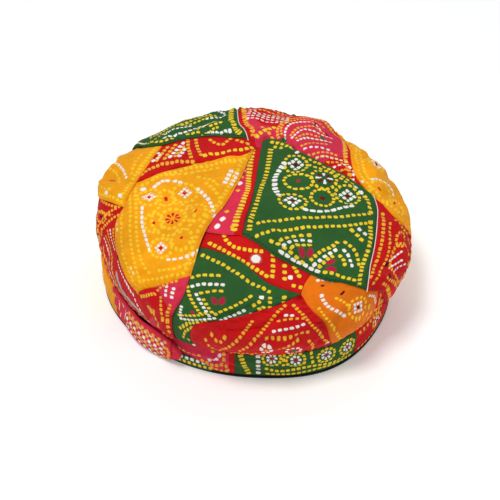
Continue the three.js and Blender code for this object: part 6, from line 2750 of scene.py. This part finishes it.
class Stitching:
    """Sewing thread along seams: stitches on a curve, made with Geometry Nodes."""

    seam_stitch = Stitch(0.3, 0.0030, 0.0031, 0.00038)
    hem_stitch = Stitch(0.1, 0.0036, 0.0026, 0.0003)
    hem_inset = 1.6

    def __init__(self, crown: Crown) -> None:
        """Keeps the crown, which the seams lie on."""
        self.crown = crown

    def tree(self) -> bpy.types.NodeTree:
        """The tree that lays short stitches along a line."""
        tree = bpy.data.node_groups.new("stitches", "GeometryNodeTree")
        tree.interface.new_socket("Geometry", in_out="INPUT", socket_type="NodeSocketGeometry")
        for label, kind, value in (
            ("Spacing", FLOAT, 0.0036),
            ("Length", FLOAT, 0.0026),
            ("Thickness", FLOAT, 0.00035),
        ):
            socket = tree.interface.new_socket(label, in_out="INPUT", socket_type=kind)
            socket.default_value = value
        tree.interface.new_socket("Material", in_out="INPUT", socket_type="NodeSocketMaterial")
        tree.interface.new_socket("Geometry", in_out="OUTPUT", socket_type="NodeSocketGeometry")
        n = Nodes(tree)
        given, out = n.add("NodeGroupInput"), n.add("NodeGroupOutput")
        curve = n.add("GeometryNodeMeshToCurve")
        n.put(curve.inputs["Mesh"], given.outputs["Geometry"])
        points = n.add("GeometryNodeCurveToPoints", mode="LENGTH")
        n.put(points.inputs["Curve"], curve.outputs[0])
        n.put(points.inputs["Length"], given.outputs["Spacing"])
        stitch = n.add("GeometryNodeMeshCylinder")
        stitch.inputs["Vertices"].default_value = 6
        stitch.inputs["Side Segments"].default_value = 2
        n.put(stitch.inputs["Radius"], given.outputs["Thickness"])
        n.put(stitch.inputs["Depth"], given.outputs["Length"])
        turn = n.add("FunctionNodeAlignEulerToVector", axis="Z")
        n.put(turn.inputs["Vector"], points.outputs["Tangent"])
        on = n.add("GeometryNodeInstanceOnPoints")
        n.put(on.inputs["Points"], points.outputs["Points"])
        n.put(on.inputs["Instance"], stitch.outputs["Mesh"])
        n.put(on.inputs["Rotation"], turn.outputs[0])
        real = n.add("GeometryNodeRealizeInstances")
        n.put(real.inputs[0], on.outputs[0])
        dress = n.add("GeometryNodeSetMaterial")
        n.put(dress.inputs["Geometry"], real.outputs[0])
        n.put(dress.inputs["Material"], given.outputs["Material"])
        n.put(out.inputs[0], dress.outputs[0])
        return tree

    def build(self) -> list[bpy.types.Object]:
        """Lays the pale thread that shows along three seams and the hems' own stitches."""
        tree = self.tree()
        white = FABRICS.thread("pale_thread", (0.93, 0.93, 0.9))
        red = FABRICS.thread("red_thread", (0.62, 0.05, 0.1))
        gold = FABRICS.thread("gold_thread", (0.97, 0.68, 0.14))
        dark = FABRICS.thread("green_thread", (0.06, 0.25, 0.12))
        plan = self.crown.plan
        seams = (("flapToPink", Wrap.BACK), ("flapToBack", Wrap.BACK), ("greenToRed", Wrap.TOP))
        lines = [(plan.seam(seam), wrap) for seam, wrap in seams]
        out = [self.lay(tree, "pale_seam_thread", lines, white, self.seam_stitch, Cloth.PINK)]
        hems = [
            (
                "orange_hem_thread",
                [("diagonal", (1, 42), (-44, -82), Wrap.SIDE), ("free", (-99, -12), (-101, -103), Wrap.SIDE)],
                gold,
                Cloth.ORANGE,
            ),
            (
                "green_hem_thread",
                [("top", (-8, -49), (88, -94), Wrap.TOP), ("back", (-4, 51), (-97, 71), Wrap.BACK)],
                dark,
                Cloth.GREEN,
            ),
            ("red_hem_thread", [("top", (88, -94), (160, -86), Wrap.TOP)], red, Cloth.RED),
        ]
        for name, edges, material, cloth in hems:
            lines = [(self.hem_line(edge, start, end), wrap) for edge, start, end, wrap in edges]
            out.append(self.lay(tree, name, lines, material, self.hem_stitch, cloth))
        return out

    def hem_line(self, edge: str, start: tuple[float, float], end: tuple[float, float]) -> Array:
        """The line on the plan that a hem's stitches follow, a little inside the wrap's edge."""
        plan = self.crown.plan
        points = plan.along(edge, start, end)
        direction = np.gradient(points, axis=0)
        direction /= np.linalg.norm(direction, axis=1, keepdims=True)
        inward = -plan.lines[edge].lower
        across = np.stack([-direction[:, 1], direction[:, 0]], -1) * inward
        if plan.place_on(edge, start) > plan.place_on(edge, end):
            across = -across
        return points - across * self.hem_inset

    def lay(
        self,
        tree: bpy.types.NodeTree,
        name: str,
        lines: list[tuple[Array, Wrap]],
        material: bpy.types.Material,
        stitch: Stitch,
        cloth: Cloth,
    ) -> bpy.types.Object:
        """Lays stitches along lines on the plan.

        Args:
            tree: the Geometry Nodes tree.
            name: the piece's name.
            lines: the lines, each with its wrap.
            material: the thread.
            stitch: how the thread is sewn.
            cloth: the cloth that the thread goes with; not used.

        Returns:
            The piece.
        """
        points: list[Array] = []
        edges: list[tuple[int, int]] = []
        for line, wrap in lines:
            xy = spline(line, max(8, round(length_of(line) / 2)))
            rise = self.crown.plan.lift(wrap, xy) + stitch.raised
            at = self.crown.form.point(xy[:, 0], xy[:, 1], rise)
            at = (at + (*BOX_MIDDLE, 0.0)) * MM
            start = sum(len(p) for p in points)
            edges += [(start + i, start + i + 1) for i in range(len(at) - 1)]
            points.append(at)
        mesh = bpy.data.meshes.new(f"{name}_line")
        mesh.from_pydata(np.concatenate(points).tolist(), edges, [])
        guide = new_object(f"{name}_line", mesh)
        modifier = guide.modifiers.new("stitches", "NODES")
        modifier.node_group = tree
        values = {
            "Spacing": stitch.spacing,
            "Length": stitch.length,
            "Thickness": stitch.radius,
            "Material": material,
        }
        for item in tree.interface.items_tree:
            if item.in_out == "INPUT" and item.name in values:
                modifier[item.identifier] = values[item.name]
        graph = bpy.context.evaluated_depsgraph_get()
        made_mesh = bpy.data.meshes.new_from_object(guide.evaluated_get(graph))
        made_mesh.name = name
        made = new_object(name, made_mesh)
        guide.modifiers.clear()
        bpy.data.objects.remove(guide)
        bpy.data.meshes.remove(mesh)
        if not made_mesh.materials:
            made_mesh.materials.append(material)
        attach(made, "root")
        log.info("%s: %d faces", name, len(made_mesh.polygons))
        return made


def main() -> None:
    """Builds the dressed turban in its order."""
    logging.basicConfig(level=logging.INFO, format="%(name)s: %(message)s")
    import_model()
    Camera().build()
    Studio().build()
    form, layering = CrownForm(), Layering()
    sheet = ClothSheet(layering)
    Lining(form, layering).build()
    Band(form, sheet).build()
    crown = Crown(CrownPlan(form, layering), sheet)
    crown.build()
    Stitching(crown).build()


if __name__ == "__main__":
    main()
